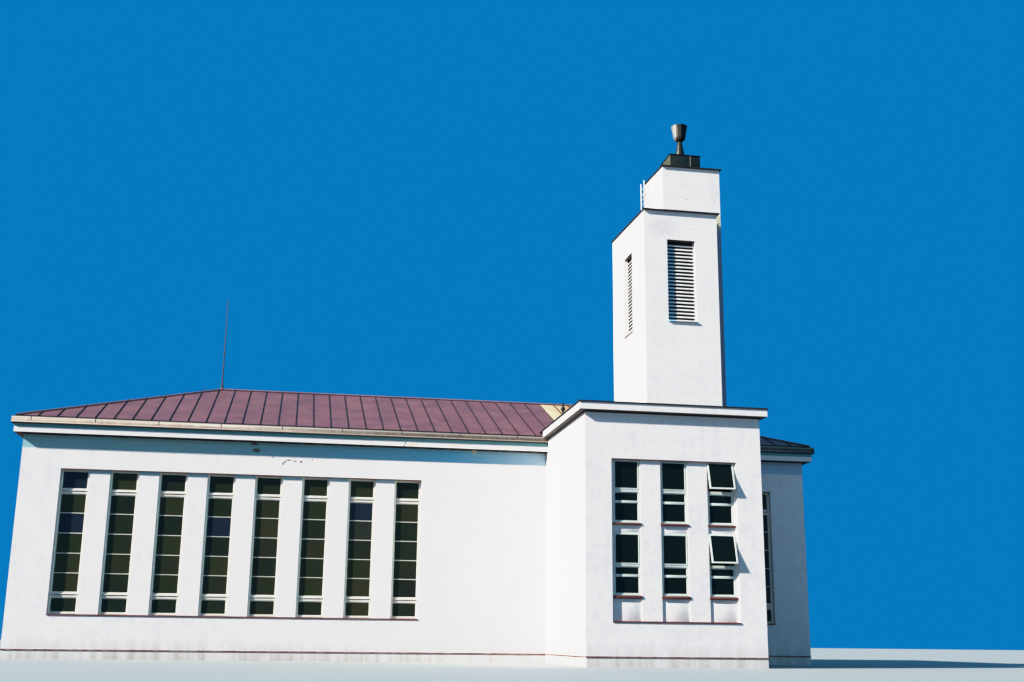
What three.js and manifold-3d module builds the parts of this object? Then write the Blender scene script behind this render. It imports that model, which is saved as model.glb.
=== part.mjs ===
// A white rendered church hall of the 1930s with a hipped sheet-metal roof, a two-storey front block
// and a stepped bell tower that carries a chalice. Millimetres, +Z up.
// X runs along the hall's front from its left wall, Y runs from front to back, Z is height above ground.
import * as THREE from 'three';
import { mergeVertices } from 'three/addons/utils/BufferGeometryUtils.js';
import Module from 'manifold-3d';

const wasm = await Module();
wasm.setup();

// Clearance between pieces that are cut by or stand beside each other
const gap = 0.3;
// How far the parts of one piece run into each other
const overlap = 10;

// Nave: the long hall
const naveLength = 37400;
const naveDepth = 14400;
const naveWall = 500;
const wallHeight = 9910;
const floorTop = 150;
const endHipRun = 8630;
const sideHipRun = 7700;
const hipRise = 3117;
const corniceHeight = 390;
const corniceReach = 380;
const gutterBackHeight = 200;
const gutterReach = 500;
const gutterWidth = 240;
const gutterSheet = 25;
const gutterMitre = 1000;
const eaveTop = 10620;
const roofThickness = 150;
const roofEdgeReach = 330;
const eaveBoard = 60;
const eaveBoardReach = 250;
const ridgeRollRadius = 45;
const ridgeKnot = 110;
const knotHeight = 140;
const rollStart = 85;
const hipRollShare = 0.98;

// Nave window bands
const recessDepth = 100;
const bandBottom = 1880;
const bandTop = 8370;
const windowPitch = 2160;
const windowWidth = 1270;
const firstLeftWindow = 1755;
const firstRightWindow = 32215;
const frontLeftWindows = 8;
const frontRightWindows = 2;
const backWindows = 12;
const frameSetback = 100;
const frameDepth = 80;
const frameBar = 70;
const sillHeight = 60;
const sillReach = 40;
const highTransom = [7260, 7470];
const lowTransom = [2660, 2880];
const glassThickness = 12;
const glassLap = 100;
const glassMargin = 5;

// Entrance in the nave's right-hand end wall
const doorWidth = 1800;
const doorHeight = 2400;
const doorThickness = 60;
const doorFrameDepth = 100;
const doorSetback = 150;
const doorPanelDepth = 15;

// Front block
const blockLeft = 24200;
const blockRight = 32000;
const blockFront = -8000;
const blockWall = 400;
const blockWallHeight = 10570;
const blockSlab = 310;
const blockSlabReach = 280;
const blockSheet = 60;
const blockSheetReach = 320;
const blockRoofBack = 130;
const bayWidth = 1200;
const bayPitch = 2080;
const bayMargin = 80;
const bayCount = 3;
const bayBottom = 1780;
const bayTop = 8550;
const lowerSill = [2740, 2870];
const upperSill = [5770, 5860];
const lowerWindow = [2870, 5480];
const upperWindow = [5860, 8550];
const lowerTransom = [4060, 4170];
const upperTransom = [7160, 7290];
const infillSetback = 60;
const infillDepth = 110;
const floorSlab = 250;
const casementTilt = THREE.MathUtils.degToRad(15);
const casementThickness = 50;
const casementMargin = 20;
const casementStop = 15;
const casementPane = 0.2;
const baseLine = [380, 430];
const baseLineReach = 25;

// Tower
const towerLeft = 27640;
const towerRight = 31190;
const towerFront = -5700;
const towerBack = 0;
const towerWall = 350;
const towerWallTop = 20490;
const towerSlabTop = 20690;
const towerRoofRise = 255;
const towerSheet = 60;
const towerSheetReach = 120;
const towerSheetSideReach = 50;
const shaftLeft = 28910;
const shaftRight = 31770;
const shaftFront = -4690;
const shaftBack = -1600;
const shaftWall = 300;
const shaftTop = 23370;
const shaftRoofRise = 190;
const shaftSheetReach = 95;
const shaftSheetSideReach = 50;

// Bell louvres
const louvreBottom = 15300;
const louvreTop = 19300;
const frontLouvreWidth = 1360;
const sideLouvreWidth = 1400;
const louvreSetback = 130;
const louvreStile = 30;
const stileInset = 2;
const louvreDepth = 160;
const slatCount = 22;
const slatPitch = 172;
const lowestSlat = 60;
const slatWidth = 95;
const slatThickness = 25;
const slatTilt = THREE.MathUtils.degToRad(68);
const louvreSill = 80;
const louvreSillReach = 90;
const louvreSillEdge = 40;
const louvreSillLap = 20;
const louvreBackingSheet = 20;

// Tower top
const topCentreX = 30300;
const topCentreY = -3200;
const plinthWidth = 1540;
const plinthHeight = 900;
const plinthLid = 50;
const plinthLidReach = 25;
const chaliceHeight = 1810;
const chaliceNeck = 985;
const chaliceSides = 12;
const cupRim = 410;
const cupSheet = 28;

// Ladder, lightning rod and roof vent
const ladderFront = -2280;
const ladderWidth = 550;
const ladderStandoff = 220;
const ladderTop = 23560;
const railRadius = 27;
const rungRadius = 17;
const rungPitch = 270;
const bracketHalf = 12;
const rodRadius = 30;
const rodHeight = 4900;
const rodShoe = 250;
const ventY = -4360;
const ventHeight = 620;
const ventRadius = 45;
const ventBallRadius = 100;
const ventBallHeight = 335;

// Heights and places worked out from the sizes above
const corniceTop = wallHeight + corniceHeight;
const blockRoofTop = blockWallHeight + blockSlab + blockSheet;
const roofSheetTop = towerSlabTop + towerSheet;
const towerTop = shaftTop + towerSheet;
const plinthTop = towerTop + plinthHeight + plinthLid;
const ridgeTop = eaveTop + hipRise;
const knotTop = ridgeTop + gap + knotHeight;
const blockCentre = (blockLeft + blockRight) / 2;
const ridgeY = naveDepth / 2;
const leftApex = -gutterReach + endHipRun;
const rightApex = naveLength + gutterReach - endHipRun;
const infillFront = blockFront + recessDepth + infillSetback;
const towerFall = towerRoofRise / (towerBack - towerFront);
const shaftFall = shaftRoofRise / (shaftBack - shaftFront);
const towerCentreX = (towerLeft + towerRight) / 2;
const towerCentreY = (towerFront + towerBack) / 2;

// Solid from a closed three.js geometry, and back again
function solid(geometry) {
  const shape = geometry.clone();
  shape.deleteAttribute('normal');
  shape.deleteAttribute('uv');
  const merged = mergeVertices(shape, 1e-3);
  const mesh = new wasm.Mesh({
    numProp: 3,
    vertProperties: Float32Array.from(merged.attributes.position.array),
    triVerts: Uint32Array.from(merged.index.array),
  });
  return new wasm.Manifold(mesh);
}

function geometryOf(body) {
  const mesh = body.getMesh();
  const geometry = new THREE.BufferGeometry();
  geometry.setAttribute('position', new THREE.BufferAttribute(Float32Array.from(mesh.vertProperties), 3));
  geometry.setIndex(Array.from(mesh.triVerts));
  geometry.computeVertexNormals();
  return geometry;
}

function join(...bodies) {
  return bodies.reduce((whole, body) => whole.add(body));
}

function box([x0, y0, z0], [x1, y1, z1]) {
  const geometry = new THREE.BoxGeometry(x1 - x0, y1 - y0, z1 - z0);
  geometry.translate((x0 + x1) / 2, (y0 + y1) / 2, (z0 + z1) / 2);
  return solid(geometry);
}

// Upright prism over a plan outline; base and top may be numbers or functions of x and y
function prism(plan, base, top) {
  const low = typeof base === 'function' ? base : () => base;
  const high = typeof top === 'function' ? top : () => top;
  const shape = new THREE.Shape(plan.map(([x, y]) => new THREE.Vector2(x, y)));
  const geometry = new THREE.ExtrudeGeometry(shape, { depth: 1, bevelEnabled: false });
  const points = geometry.attributes.position;
  for (let i = 0; i < points.count; i += 1) {
    const x = points.getX(i);
    const y = points.getY(i);
    points.setZ(i, points.getZ(i) > 0.5 ? high(x, y) : low(x, y));
  }
  return solid(geometry);
}

function rod(from, to, radius, sides) {
  const start = new THREE.Vector3(...from);
  const end = new THREE.Vector3(...to);
  const direction = end.clone().sub(start);
  const geometry = new THREE.CylinderGeometry(radius, radius, direction.length(), sides);
  const turn = new THREE.Quaternion().setFromUnitVectors(
    new THREE.Vector3(0, 1, 0),
    direction.clone().normalize(),
  );
  geometry.applyQuaternion(turn);
  geometry.translate(...start.add(end).multiplyScalar(0.5).toArray());
  return solid(geometry);
}

// Half-turn of a front piece about the nave's middle, onto the back
function toBack(body) {
  return body.rotate([0, 0, 180]).translate([naveLength, naveDepth, 0]);
}

const building = new THREE.Group();
building.name = 'church';

function addPiece(name, body, colour, roughness = 0.85, metalness = 0) {
  const material = new THREE.MeshStandardMaterial({ color: colour, roughness, metalness });
  const piece = new THREE.Mesh(geometryOf(body), material);
  piece.name = name;
  building.add(piece);
}

const render = 0xecebe6;
const roofPaint = 0x8d6471;
const gutterTan = 0xbba98a;
const frameCream = 0xe9e3cf;
const sheetEdge = 0x1d1b1d;
const copper = 0x24392f;
const bronze = 0x3c3833;
const concrete = 0xb5b1a8;
const glassDark = 0x2b3236;
const doorBrown = 0x6b4a34;
const ridgePink = 0xa58a90;
const rodBrown = 0x5a4030;
const ventGrey = 0x4c4f52;
const ladderWhite = 0xdedede;

// Left edges of a row of windows
function windowStarts(first, count) {
  return Array.from({ length: count }, (_, i) => first + i * windowPitch);
}

const backRowLength = (backWindows - 1) * windowPitch + windowWidth;
const leftStarts = windowStarts(firstLeftWindow, frontLeftWindows);
const rightStarts = windowStarts(firstRightWindow, frontRightWindows);
const backStarts = windowStarts((naveLength - backRowLength) / 2, backWindows);

// What a window band takes out of a front wall: the shallow recess and the openings through it
function bandCut(starts) {
  const end = starts.at(-1) + windowWidth;
  const recess = box([starts[0], -1, bandBottom], [end, recessDepth, bandTop]);
  const holes = starts.map((x) => box([x, 0, bandBottom], [x + windowWidth, naveWall + 1, bandTop]));
  return join(recess, ...holes);
}

// Projecting painted line near the ground
function baseLineStrip(x0, x1, face) {
  return box([x0, face - baseLineReach, baseLine[0]], [x1, face + overlap, baseLine[1]]);
}

function naveFrontWall() {
  const wall = box([0, 0, 0], [naveLength, naveWall, wallHeight]);
  const whole = join(
    wall,
    baseLineStrip(0, blockLeft - gap, 0),
    baseLineStrip(blockRight + gap, naveLength, 0),
  );
  return whole.subtract(bandCut(leftStarts)).subtract(bandCut(rightStarts));
}

function naveBackWall() {
  const wall = join(box([0, 0, 0], [naveLength, naveWall, wallHeight]), baseLineStrip(0, naveLength, 0));
  return toBack(wall.subtract(bandCut(backStarts)));
}

function naveLeftWall() {
  return box([0, naveWall + gap, 0], [naveWall, naveDepth - naveWall - gap, wallHeight]);
}

function naveRightWall() {
  const start = naveLength - naveWall;
  const wall = box([start, naveWall + gap, 0], [naveLength, naveDepth - naveWall - gap, wallHeight]);
  const doorway = box(
    [start - 1, ridgeY - doorWidth / 2, floorTop],
    [naveLength + 1, ridgeY + doorWidth / 2, floorTop + doorHeight],
  );
  return wall.subtract(doorway);
}

// Two-leaf plank door in its frame, standing on the threshold
function entranceDoor() {
  const outer = naveLength - doorSetback;
  const y0 = ridgeY - doorWidth / 2 + gap;
  const y1 = ridgeY + doorWidth / 2 - gap;
  const z0 = floorTop + gap;
  const z1 = floorTop + doorHeight - gap;
  const frame = box([outer - doorFrameDepth, y0, z0], [outer, y1, z1]);
  const leaves = [
    [y0 + frameBar, ridgeY - frameBar / 2],
    [ridgeY + frameBar / 2, y1 - frameBar],
  ];
  const leafFronts = leaves.map(([start, end]) => box(
    [outer - doorPanelDepth, start, z0 + frameBar],
    [outer + 1, end, z1 - frameBar],
  ));
  const behindLeaves = box(
    [outer - doorFrameDepth - 1, y0 + frameBar, z0 + frameBar],
    [outer - doorPanelDepth - doorThickness, y1 - frameBar, z1 - frameBar],
  );
  return frame.subtract(join(...leafFronts)).subtract(behindLeaves);
}

function naveFloor() {
  const inset = naveWall + gap;
  return box([inset, inset, 0], [naveLength - inset, naveDepth - inset, floorTop]);
}

// One tall window frame with its two thick transoms, glazed openings left clear
function tallFrame(x) {
  const y0 = recessDepth + frameSetback;
  const y1 = y0 + frameDepth;
  const z0 = bandBottom + sillHeight;
  const outer = box([x + gap, y0, z0 - 1], [x + windowWidth - gap, y1, bandTop - gap]);
  const lights = [
    [z0 + frameBar, lowTransom[0]],
    [lowTransom[1], highTransom[0]],
    [highTransom[1], bandTop - frameBar],
  ];
  const holes = lights.map(([low, high]) => box(
    [x + frameBar, y0 - 1, low],
    [x + windowWidth - frameBar, y1 + 1, high],
  ));
  return outer.subtract(join(...holes));
}

// A row of window frames on the continuous sill that carries them
function windowRow(starts) {
  const end = starts.at(-1) + windowWidth;
  const z0 = bandBottom + gap;
  const z1 = bandBottom + sillHeight;
  const sill = box([starts[0] + gap, -sillReach, z0], [end - gap, recessDepth - gap, z1]);
  const tongues = starts.map((x) => box(
    [x + gap, recessDepth - 1, z0],
    [x + windowWidth - gap, recessDepth + frameSetback + frameDepth, z1],
  ));
  return join(sill, ...tongues, ...starts.map(tallFrame));
}

// One sheet of glass behind the windows from the one that starts at first to the one that starts at last
function rowGlass(first, last) {
  return box(
    [first - glassLap, naveWall + gap, bandBottom - glassLap],
    [last + windowWidth + glassLap, naveWall + gap + glassThickness, bandTop + glassLap],
  );
}

// Plan rectangle that stands out from the nave's walls by reach
function naveRectangle(reach) {
  return [
    [-reach, -reach],
    [naveLength + reach, -reach],
    [naveLength + reach, naveDepth + reach],
    [-reach, naveDepth + reach],
  ];
}

function naveCornice() {
  const slab = prism(naveRectangle(corniceReach), wallHeight, corniceTop);
  const inside = prism(naveRectangle(-naveWall), wallHeight - 1, corniceTop + 1);
  const behindBlock = box(
    [blockLeft - gap, -corniceReach - 1, wallHeight - 1],
    [blockRight + gap, 0, corniceTop + 1],
  );
  return slab.subtract(inside).subtract(behindBlock);
}

// Open box gutter round the whole cornice, before it is cut into runs
function gutterRing() {
  const outer = prism(naveRectangle(gutterReach), corniceTop, eaveTop);
  const inner = prism(naveRectangle(gutterReach - gutterWidth), corniceTop - 1, eaveTop + 1);
  const channel = prism(naveRectangle(gutterReach - gutterSheet), corniceTop + gutterSheet, eaveTop + 1)
    .subtract(prism(naveRectangle(gutterReach - gutterWidth + gutterSheet), corniceTop, eaveTop + 2));
  const overBack = prism(
    naveRectangle(gutterReach - gutterSheet),
    corniceTop + gutterBackHeight,
    eaveTop + 3,
  );
  return outer.subtract(inner).subtract(channel).subtract(overBack);
}

// Front run of the ring, mitred at both corners
function gutterFrontSide() {
  const edge = -gutterReach - 1;
  const far = edge + gutterMitre;
  const inset = 1.5 * gap;
  return gutterRing().intersect(prism([
    [edge + inset, edge],
    [naveLength - edge - inset, edge],
    [naveLength - far - inset, far],
    [far + inset, far],
  ], corniceTop - 1, eaveTop + 1));
}

function gutterLeftSide() {
  const edge = -gutterReach - 1;
  const far = edge + gutterMitre;
  return gutterRing().intersect(prism([
    [edge, edge],
    [far, far],
    [far, naveDepth - far],
    [edge, naveDepth - edge],
  ], corniceTop - 1, eaveTop + 1));
}

// Stretch of the front run between x0 and x1, stopped against the block
function gutterFrontRun(x0, x1) {
  const low = [x0, -gutterReach - 1, corniceTop - 1];
  const high = [x1, 0, eaveTop + 1];
  return gutterFrontSide().intersect(box(low, high));
}

// Heights of the four roof planes over the plan
const sideSlope = hipRise / sideHipRun;
const endSlope = hipRise / endHipRun;
const frontPlane = (x, y) => eaveTop + (y + gutterReach) * sideSlope;
const leftPlane = (x) => eaveTop + (x + gutterReach) * endSlope;

function lowered(plane, amount) {
  return (x, y) => plane(x, y) - amount;
}

// Front slope; it stops at the nave's wall line where the block's roof runs under it
function roofFront() {
  const inset = gutterReach - roofEdgeReach;
  const hipX = -gutterReach + (inset * endHipRun) / sideHipRun;
  const plan = [
    [hipX, -roofEdgeReach],
    [blockLeft - gap, -roofEdgeReach],
    [blockLeft - gap, gap],
    [blockRight + gap, gap],
    [blockRight + gap, -roofEdgeReach],
    [naveLength - hipX, -roofEdgeReach],
    [rightApex, ridgeY - gap],
    [leftApex, ridgeY - gap],
  ];
  const slope = prism(plan, lowered(frontPlane, roofThickness), frontPlane);
  const under = lowered(frontPlane, roofThickness - overlap);
  const board = (x0, x1, y) => prism(
    [[x0, y], [x1, y], [x1, y + eaveBoard], [x0, y + eaveBoard]],
    corniceTop,
    under,
  );
  const farEnd = naveLength + eaveBoardReach - 2 * eaveBoard;
  return join(
    slope,
    board(-eaveBoardReach + 2 * eaveBoard, blockLeft - gap, -eaveBoardReach),
    board(blockLeft + blockWall, blockRight - blockWall, gap),
    board(blockRight + gap, farEnd, -eaveBoardReach),
  );
}

function roofBack() {
  const inset = gutterReach - roofEdgeReach;
  const hipX = -gutterReach + (inset * endHipRun) / sideHipRun;
  const plan = [
    [hipX, -roofEdgeReach],
    [naveLength - hipX, -roofEdgeReach],
    [rightApex, ridgeY - gap],
    [leftApex, ridgeY - gap],
  ];
  const slope = prism(plan, lowered(frontPlane, roofThickness), frontPlane);
  const end = naveLength + eaveBoardReach - 2 * eaveBoard;
  const start = -eaveBoardReach + 2 * eaveBoard;
  const y = -eaveBoardReach;
  const board = prism(
    [[start, y], [end, y], [end, y + eaveBoard], [start, y + eaveBoard]],
    corniceTop,
    lowered(frontPlane, roofThickness - overlap),
  );
  return toBack(join(slope, board));
}

function roofLeftEnd() {
  const inset = gutterReach - roofEdgeReach;
  const hipY = -gutterReach + (inset * sideHipRun) / endHipRun;
  const plan = [
    [-roofEdgeReach, hipY + 2 * gap],
    [leftApex - 4 * gap, ridgeY],
    [-roofEdgeReach, naveDepth - hipY - 2 * gap],
  ];
  const slope = prism(plan, lowered(leftPlane, roofThickness), leftPlane);
  const x = -eaveBoardReach;
  const y0 = -eaveBoardReach + 2 * eaveBoard;
  const y1 = naveDepth + eaveBoardReach - 2 * eaveBoard;
  const board = prism(
    [[x, y0], [x + eaveBoard - gap, y0], [x + eaveBoard - gap, y1], [x, y1]],
    corniceTop,
    lowered(leftPlane, roofThickness - overlap),
  );
  return join(slope, board);
}

// Round roll along the ridge and the four hips, with a square knot where they meet
function ridgeRoll() {
  const lift = ridgeRollRadius + 10 * gap;
  const middle = new THREE.Vector3((leftApex + rightApex) / 2, ridgeY, ridgeTop + lift);
  const rolls = [];
  for (const [x, eaveX] of [[leftApex, -gutterReach], [rightApex, naveLength + gutterReach]]) {
    const apex = new THREE.Vector3(x, ridgeY, ridgeTop + lift);
    const eaves = [-gutterReach, naveDepth + gutterReach].map((eaveY) => (
      new THREE.Vector3(eaveX, eaveY, eaveTop + lift).lerp(apex, 1 - hipRollShare)
    ));
    for (const end of [middle, ...eaves]) {
      const start = apex.clone().add(end.clone().sub(apex).setLength(rollStart));
      rolls.push(rod(start.toArray(), end.toArray(), ridgeRollRadius, 8));
    }
    rolls.push(box(
      [x - ridgeKnot, ridgeY - ridgeKnot, ridgeTop + gap],
      [x + ridgeKnot, ridgeY + ridgeKnot, knotTop],
    ));
  }
  return join(...rolls);
}

function lightningRod() {
  const foot = knotTop + gap;
  const mast = rod([leftApex, ridgeY, foot], [leftApex, ridgeY, foot + rodHeight], rodRadius, 10);
  const shoe = rod([leftApex, ridgeY, foot], [leftApex, ridgeY, foot + rodShoe], rodRadius * 2, 10);
  return join(mast, shoe);
}

// Left edges of the three bays along a face whose middle is at centre
function bayStarts(centre) {
  return Array.from({ length: bayCount }, (_, i) => centre + (i - 1) * bayPitch - bayWidth / 2);
}

// Cut for the bays of a wall whose outer face is at y and whose thickness is blockWall
function bayCut(centre, face) {
  const starts = bayStarts(centre);
  const end = starts.at(-1) + bayWidth;
  const recess = box(
    [starts[0] - bayMargin, face - 1, bayBottom],
    [end + bayMargin, face + recessDepth, bayTop],
  );
  const holes = starts.map((x) => box(
    [x, face, bayBottom],
    [x + bayWidth, face + blockWall + 1, bayTop],
  ));
  return join(recess, ...holes);
}

function blockFrontWall() {
  const wall = join(
    box([blockLeft, blockFront, 0], [blockRight, blockFront + blockWall, blockWallHeight]),
    baseLineStrip(blockLeft, blockRight, blockFront),
  );
  return wall.subtract(bayCut(blockCentre, blockFront));
}

function blockLeftWall() {
  const y0 = blockFront + blockWall + gap;
  const wall = box([blockLeft, y0, 0], [blockLeft + blockWall, -gap, blockWallHeight]);
  const line = box(
    [blockLeft - baseLineReach, y0, baseLine[0]],
    [blockLeft + overlap, -gap - baseLineReach, baseLine[1]],
  );
  return join(wall, line);
}

// Turns a piece modelled on the block's front onto its right-hand side
function toBlockRight(body) {
  return body
    .translate([-blockCentre, -blockFront, 0])
    .rotate([0, 0, 90])
    .translate([blockRight, blockFront / 2, 0]);
}

function blockRightWall() {
  const y0 = blockFront + blockWall + gap;
  const wall = box([blockRight - blockWall, y0, 0], [blockRight, -gap, blockWallHeight]);
  const line = box(
    [blockRight - overlap, y0, baseLine[0]],
    [blockRight + baseLineReach, -gap - baseLineReach, baseLine[1]],
  );
  return join(wall, line).subtract(toBlockRight(bayCut(blockCentre, blockFront)));
}

// Infill of the bays from first to last: sills, parapets, window frames and the panel between the
// storeys. Bays that stand open leave their upper casements out.
function bayInfill(first, last, open = false) {
  const back = infillFront + infillDepth;
  const starts = bayStarts(blockCentre).slice(first, last + 1);
  const leftEnd = first === 0 ? starts[0] - bayMargin + gap : starts[0];
  const rightEnd = last === bayCount - 1
    ? starts.at(-1) + bayWidth + bayMargin - gap
    : starts.at(-1) + bayPitch - gap;
  const sill = box(
    [leftEnd, blockFront - sillReach, bayBottom + gap],
    [rightEnd, blockFront + recessDepth - gap, bayBottom + sillHeight],
  );
  const bays = starts.map((x) => {
    const x0 = x + gap;
    const x1 = x + bayWidth - gap;
    const tongue = box(
      [x0, blockFront + recessDepth - 1, bayBottom + gap],
      [x1, back, bayBottom + sillHeight],
    );
    const panel = box([x0, infillFront, bayBottom + sillHeight - 1], [x1, back, bayTop - gap]);
    const sillBars = [lowerSill, upperSill].map(([low, high]) => box(
      [x0, blockFront + recessDepth - sillReach, low],
      [x1, infillFront + 1, high],
    ));
    const lights = [
      [lowerWindow[0] + frameBar, lowerTransom[0]],
      [lowerTransom[1] + frameBar, lowerWindow[1] - frameBar],
      [upperWindow[0] + frameBar, upperTransom[0]],
      [upperTransom[1] + frameBar, upperWindow[1] - frameBar],
    ];
    const holes = lights.map(([low, high], light) => {
      const spare = open && light % 2 === 1 ? frameBar - casementStop : 0;
      return box(
        [x + frameBar - spare, infillFront - 1, low - spare],
        [x + bayWidth - frameBar + spare, back + 1, high + spare],
      );
    });
    return join(tongue, panel, ...sillBars).subtract(join(...holes));
  });
  return join(sill, ...bays);
}

// Top-hung casement of the right-hand bay, standing open at its foot
function openCasement(bottom, top) {
  const x0 = bayStarts(blockCentre).at(-1) + casementMargin;
  const x1 = x0 + bayWidth - 2 * casementMargin;
  const height = top - bottom - 2 * casementMargin;
  const leaf = box([x0, -casementThickness, -height], [x1, 0, 0]);
  const light = box(
    [x0 + frameBar, -casementThickness - 1, -height + frameBar],
    [x1 - frameBar, -casementThickness * (0.5 + casementPane / 2), -frameBar],
  );
  const rear = box(
    [x0 + frameBar, -casementThickness * (0.5 - casementPane / 2), -height + frameBar],
    [x1 - frameBar, 1, -frameBar],
  );
  return leaf
    .subtract(join(light, rear))
    .rotate([-THREE.MathUtils.radToDeg(casementTilt), 0, 0])
    .translate([0, infillFront - gap, top - casementThickness * Math.sin(casementTilt) - gap]);
}

// Floor between the block's walls
function blockFloor(top) {
  return box(
    [blockLeft + blockWall + gap, blockFront + blockWall + gap, top - floorSlab],
    [blockRight - blockWall - gap, -gap, top],
  );
}

// Glass behind the front and right-hand windows of one storey, left out behind the open casement
function storeyGlass([bottom, top], transomTop) {
  const inner = blockFront + blockWall + gap;
  const side = blockRight - blockWall - gap;
  const farLeft = blockCentre - bayPitch * 1.5;
  const farBack = blockFront / 2 + bayPitch * 1.5;
  const plan = [
    [farLeft, inner],
    [side, inner],
    [side, farBack],
    [side - glassThickness, farBack],
    [side - glassThickness, inner + glassThickness],
    [farLeft, inner + glassThickness],
  ];
  const openBay = bayStarts(blockCentre).at(-1);
  return prism(plan, bottom + glassMargin, top - glassMargin).subtract(box(
    [openBay, inner - 1, transomTop],
    [openBay + bayWidth, inner + glassThickness + 1, top - frameBar],
  ));
}

// Roof slab whose edge is the block's white cornice
function blockRoofSlab() {
  const reach = blockSlabReach;
  const clear = gutterReach + overlap;
  const plan = [
    [blockLeft - reach, blockFront - reach],
    [blockRight + reach, blockFront - reach],
    [blockRight + reach, -clear],
    [blockRight, -clear],
    [blockRight, -gap],
    [blockLeft, -gap],
    [blockLeft, -clear],
    [blockLeft - reach, -clear],
  ];
  return prism(plan, blockWallHeight, blockWallHeight + blockSlab);
}

function blockRoofSheet() {
  const reach = blockSheetReach;
  return box(
    [blockLeft - reach, blockFront - reach, blockRoofTop - blockSheet],
    [blockRight + reach, blockRoofBack, blockRoofTop],
  );
}

// Short vent pipe with a ball cap on the block's left roof edge
function roofVent() {
  const x = blockLeft - blockSlabReach / 2;
  const pipe = rod([x, ventY, blockRoofTop], [x, ventY, blockRoofTop + ventHeight], ventRadius, 10);
  const ball = new THREE.SphereGeometry(ventBallRadius, 12, 8);
  ball.rotateX(Math.PI / 2);
  ball.translate(x, ventY, blockRoofTop + ventBallHeight);
  return join(pipe, solid(ball));
}

// How much the tower's roof and the shaft's roof stand higher at a depth than at the front
function towerRise(y) {
  return (y - towerFront) * towerFall;
}

function shaftRise(y) {
  return (y - shaftFront) * shaftFall;
}

// Lifts what lies above the bell openings to the fall of the tower's roof
function onTowerFall(body) {
  return body.warp((point) => {
    if (point[2] > louvreTop + 1) {
      point[2] += towerRise(point[1]);
    }
  });
}

function towerFrontWall() {
  const wall = box(
    [towerLeft, towerFront, blockRoofTop],
    [towerRight, towerFront + towerWall, towerWallTop],
  );
  const half = frontLouvreWidth / 2;
  return onTowerFall(wall.subtract(box(
    [towerCentreX - half, towerFront - 1, louvreBottom],
    [towerCentreX + half, towerFront + towerWall + 1, louvreTop],
  )));
}

function towerBackWall() {
  const wall = box(
    [towerLeft, towerBack - towerWall, blockRoofTop],
    [towerRight, towerBack, towerWallTop],
  );
  const half = frontLouvreWidth / 2;
  return onTowerFall(wall.subtract(box(
    [towerCentreX - half, towerBack - towerWall - 1, louvreBottom],
    [towerCentreX + half, towerBack + 1, louvreTop],
  )));
}

function towerLeftWall() {
  const inset = towerWall + gap;
  const wall = box(
    [towerLeft, towerFront + inset, blockRoofTop],
    [towerLeft + towerWall, towerBack - inset, towerWallTop],
  );
  const half = sideLouvreWidth / 2;
  return onTowerFall(wall.subtract(box(
    [towerLeft - 1, towerCentreY - half, louvreBottom],
    [towerLeft + towerWall + 1, towerCentreY + half, louvreTop],
  )));
}

// Right-hand wall, stepped out where the taller shaft stands proud of the lower volume
function towerRightWall() {
  const inset = towerWall + gap;
  const plan = [
    [towerRight, towerFront + inset],
    [towerRight, shaftFront],
    [shaftRight, shaftFront],
    [shaftRight, shaftBack],
    [towerRight, shaftBack],
    [towerRight, towerBack - inset],
    [towerRight - towerWall, towerBack - inset],
    [towerRight - towerWall, shaftBack - towerWall],
    [shaftRight - towerWall, shaftBack - towerWall],
    [shaftRight - towerWall, shaftFront + towerWall],
    [towerRight - towerWall, shaftFront + towerWall],
    [towerRight - towerWall, towerFront + inset],
  ];
  return onTowerFall(prism(plan, blockRoofTop, towerWallTop));
}

// Slab over the bell chamber; the shaft's walls stand on it
function towerSlab() {
  const foot = towerWallTop + gap;
  const lower = box([towerLeft, towerFront, foot], [towerRight, towerBack, towerSlabTop]);
  const proud = box([towerRight - 1, shaftFront, foot], [shaftRight, shaftBack, towerSlabTop]);
  return onTowerFall(join(lower, proud));
}

// Dark sheet roof around the foot of the shaft, with an edge that stands proud of the walls
function towerRoofSheet() {
  const reach = towerSheetReach;
  const sideReach = towerSheetSideReach;
  const sheet = box(
    [towerLeft - sideReach, towerFront - reach, towerSlabTop + gap],
    [towerRight + reach, towerBack + reach, roofSheetTop],
  );
  return onTowerFall(sheet.subtract(box(
    [shaftLeft - gap, shaftFront - gap, towerSlabTop - 1],
    [shaftRight + 1, shaftBack + gap, roofSheetTop + 1],
  )));
}

// The shaft's foot follows the tower's roof and its top follows its own
function shaftWalls() {
  const outer = box([shaftLeft, shaftFront, towerSlabTop + gap], [shaftRight, shaftBack, shaftTop]);
  const walls = outer.subtract(box(
    [shaftLeft + shaftWall, shaftFront + shaftWall, towerSlabTop - 1],
    [shaftRight - shaftWall, shaftBack - shaftWall, shaftTop + 1],
  ));
  return walls.warp((point) => {
    point[2] += point[2] > roofSheetTop ? shaftRise(point[1]) : towerRise(point[1]);
  });
}

function shaftRoofSheet() {
  const reach = shaftSheetReach;
  const sheet = box(
    [shaftLeft - shaftSheetSideReach, shaftFront - reach, shaftTop + gap],
    [shaftRight + reach, shaftBack + reach, towerTop],
  );
  return sheet.warp((point) => {
    point[2] += shaftRise(point[1]);
  });
}

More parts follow.
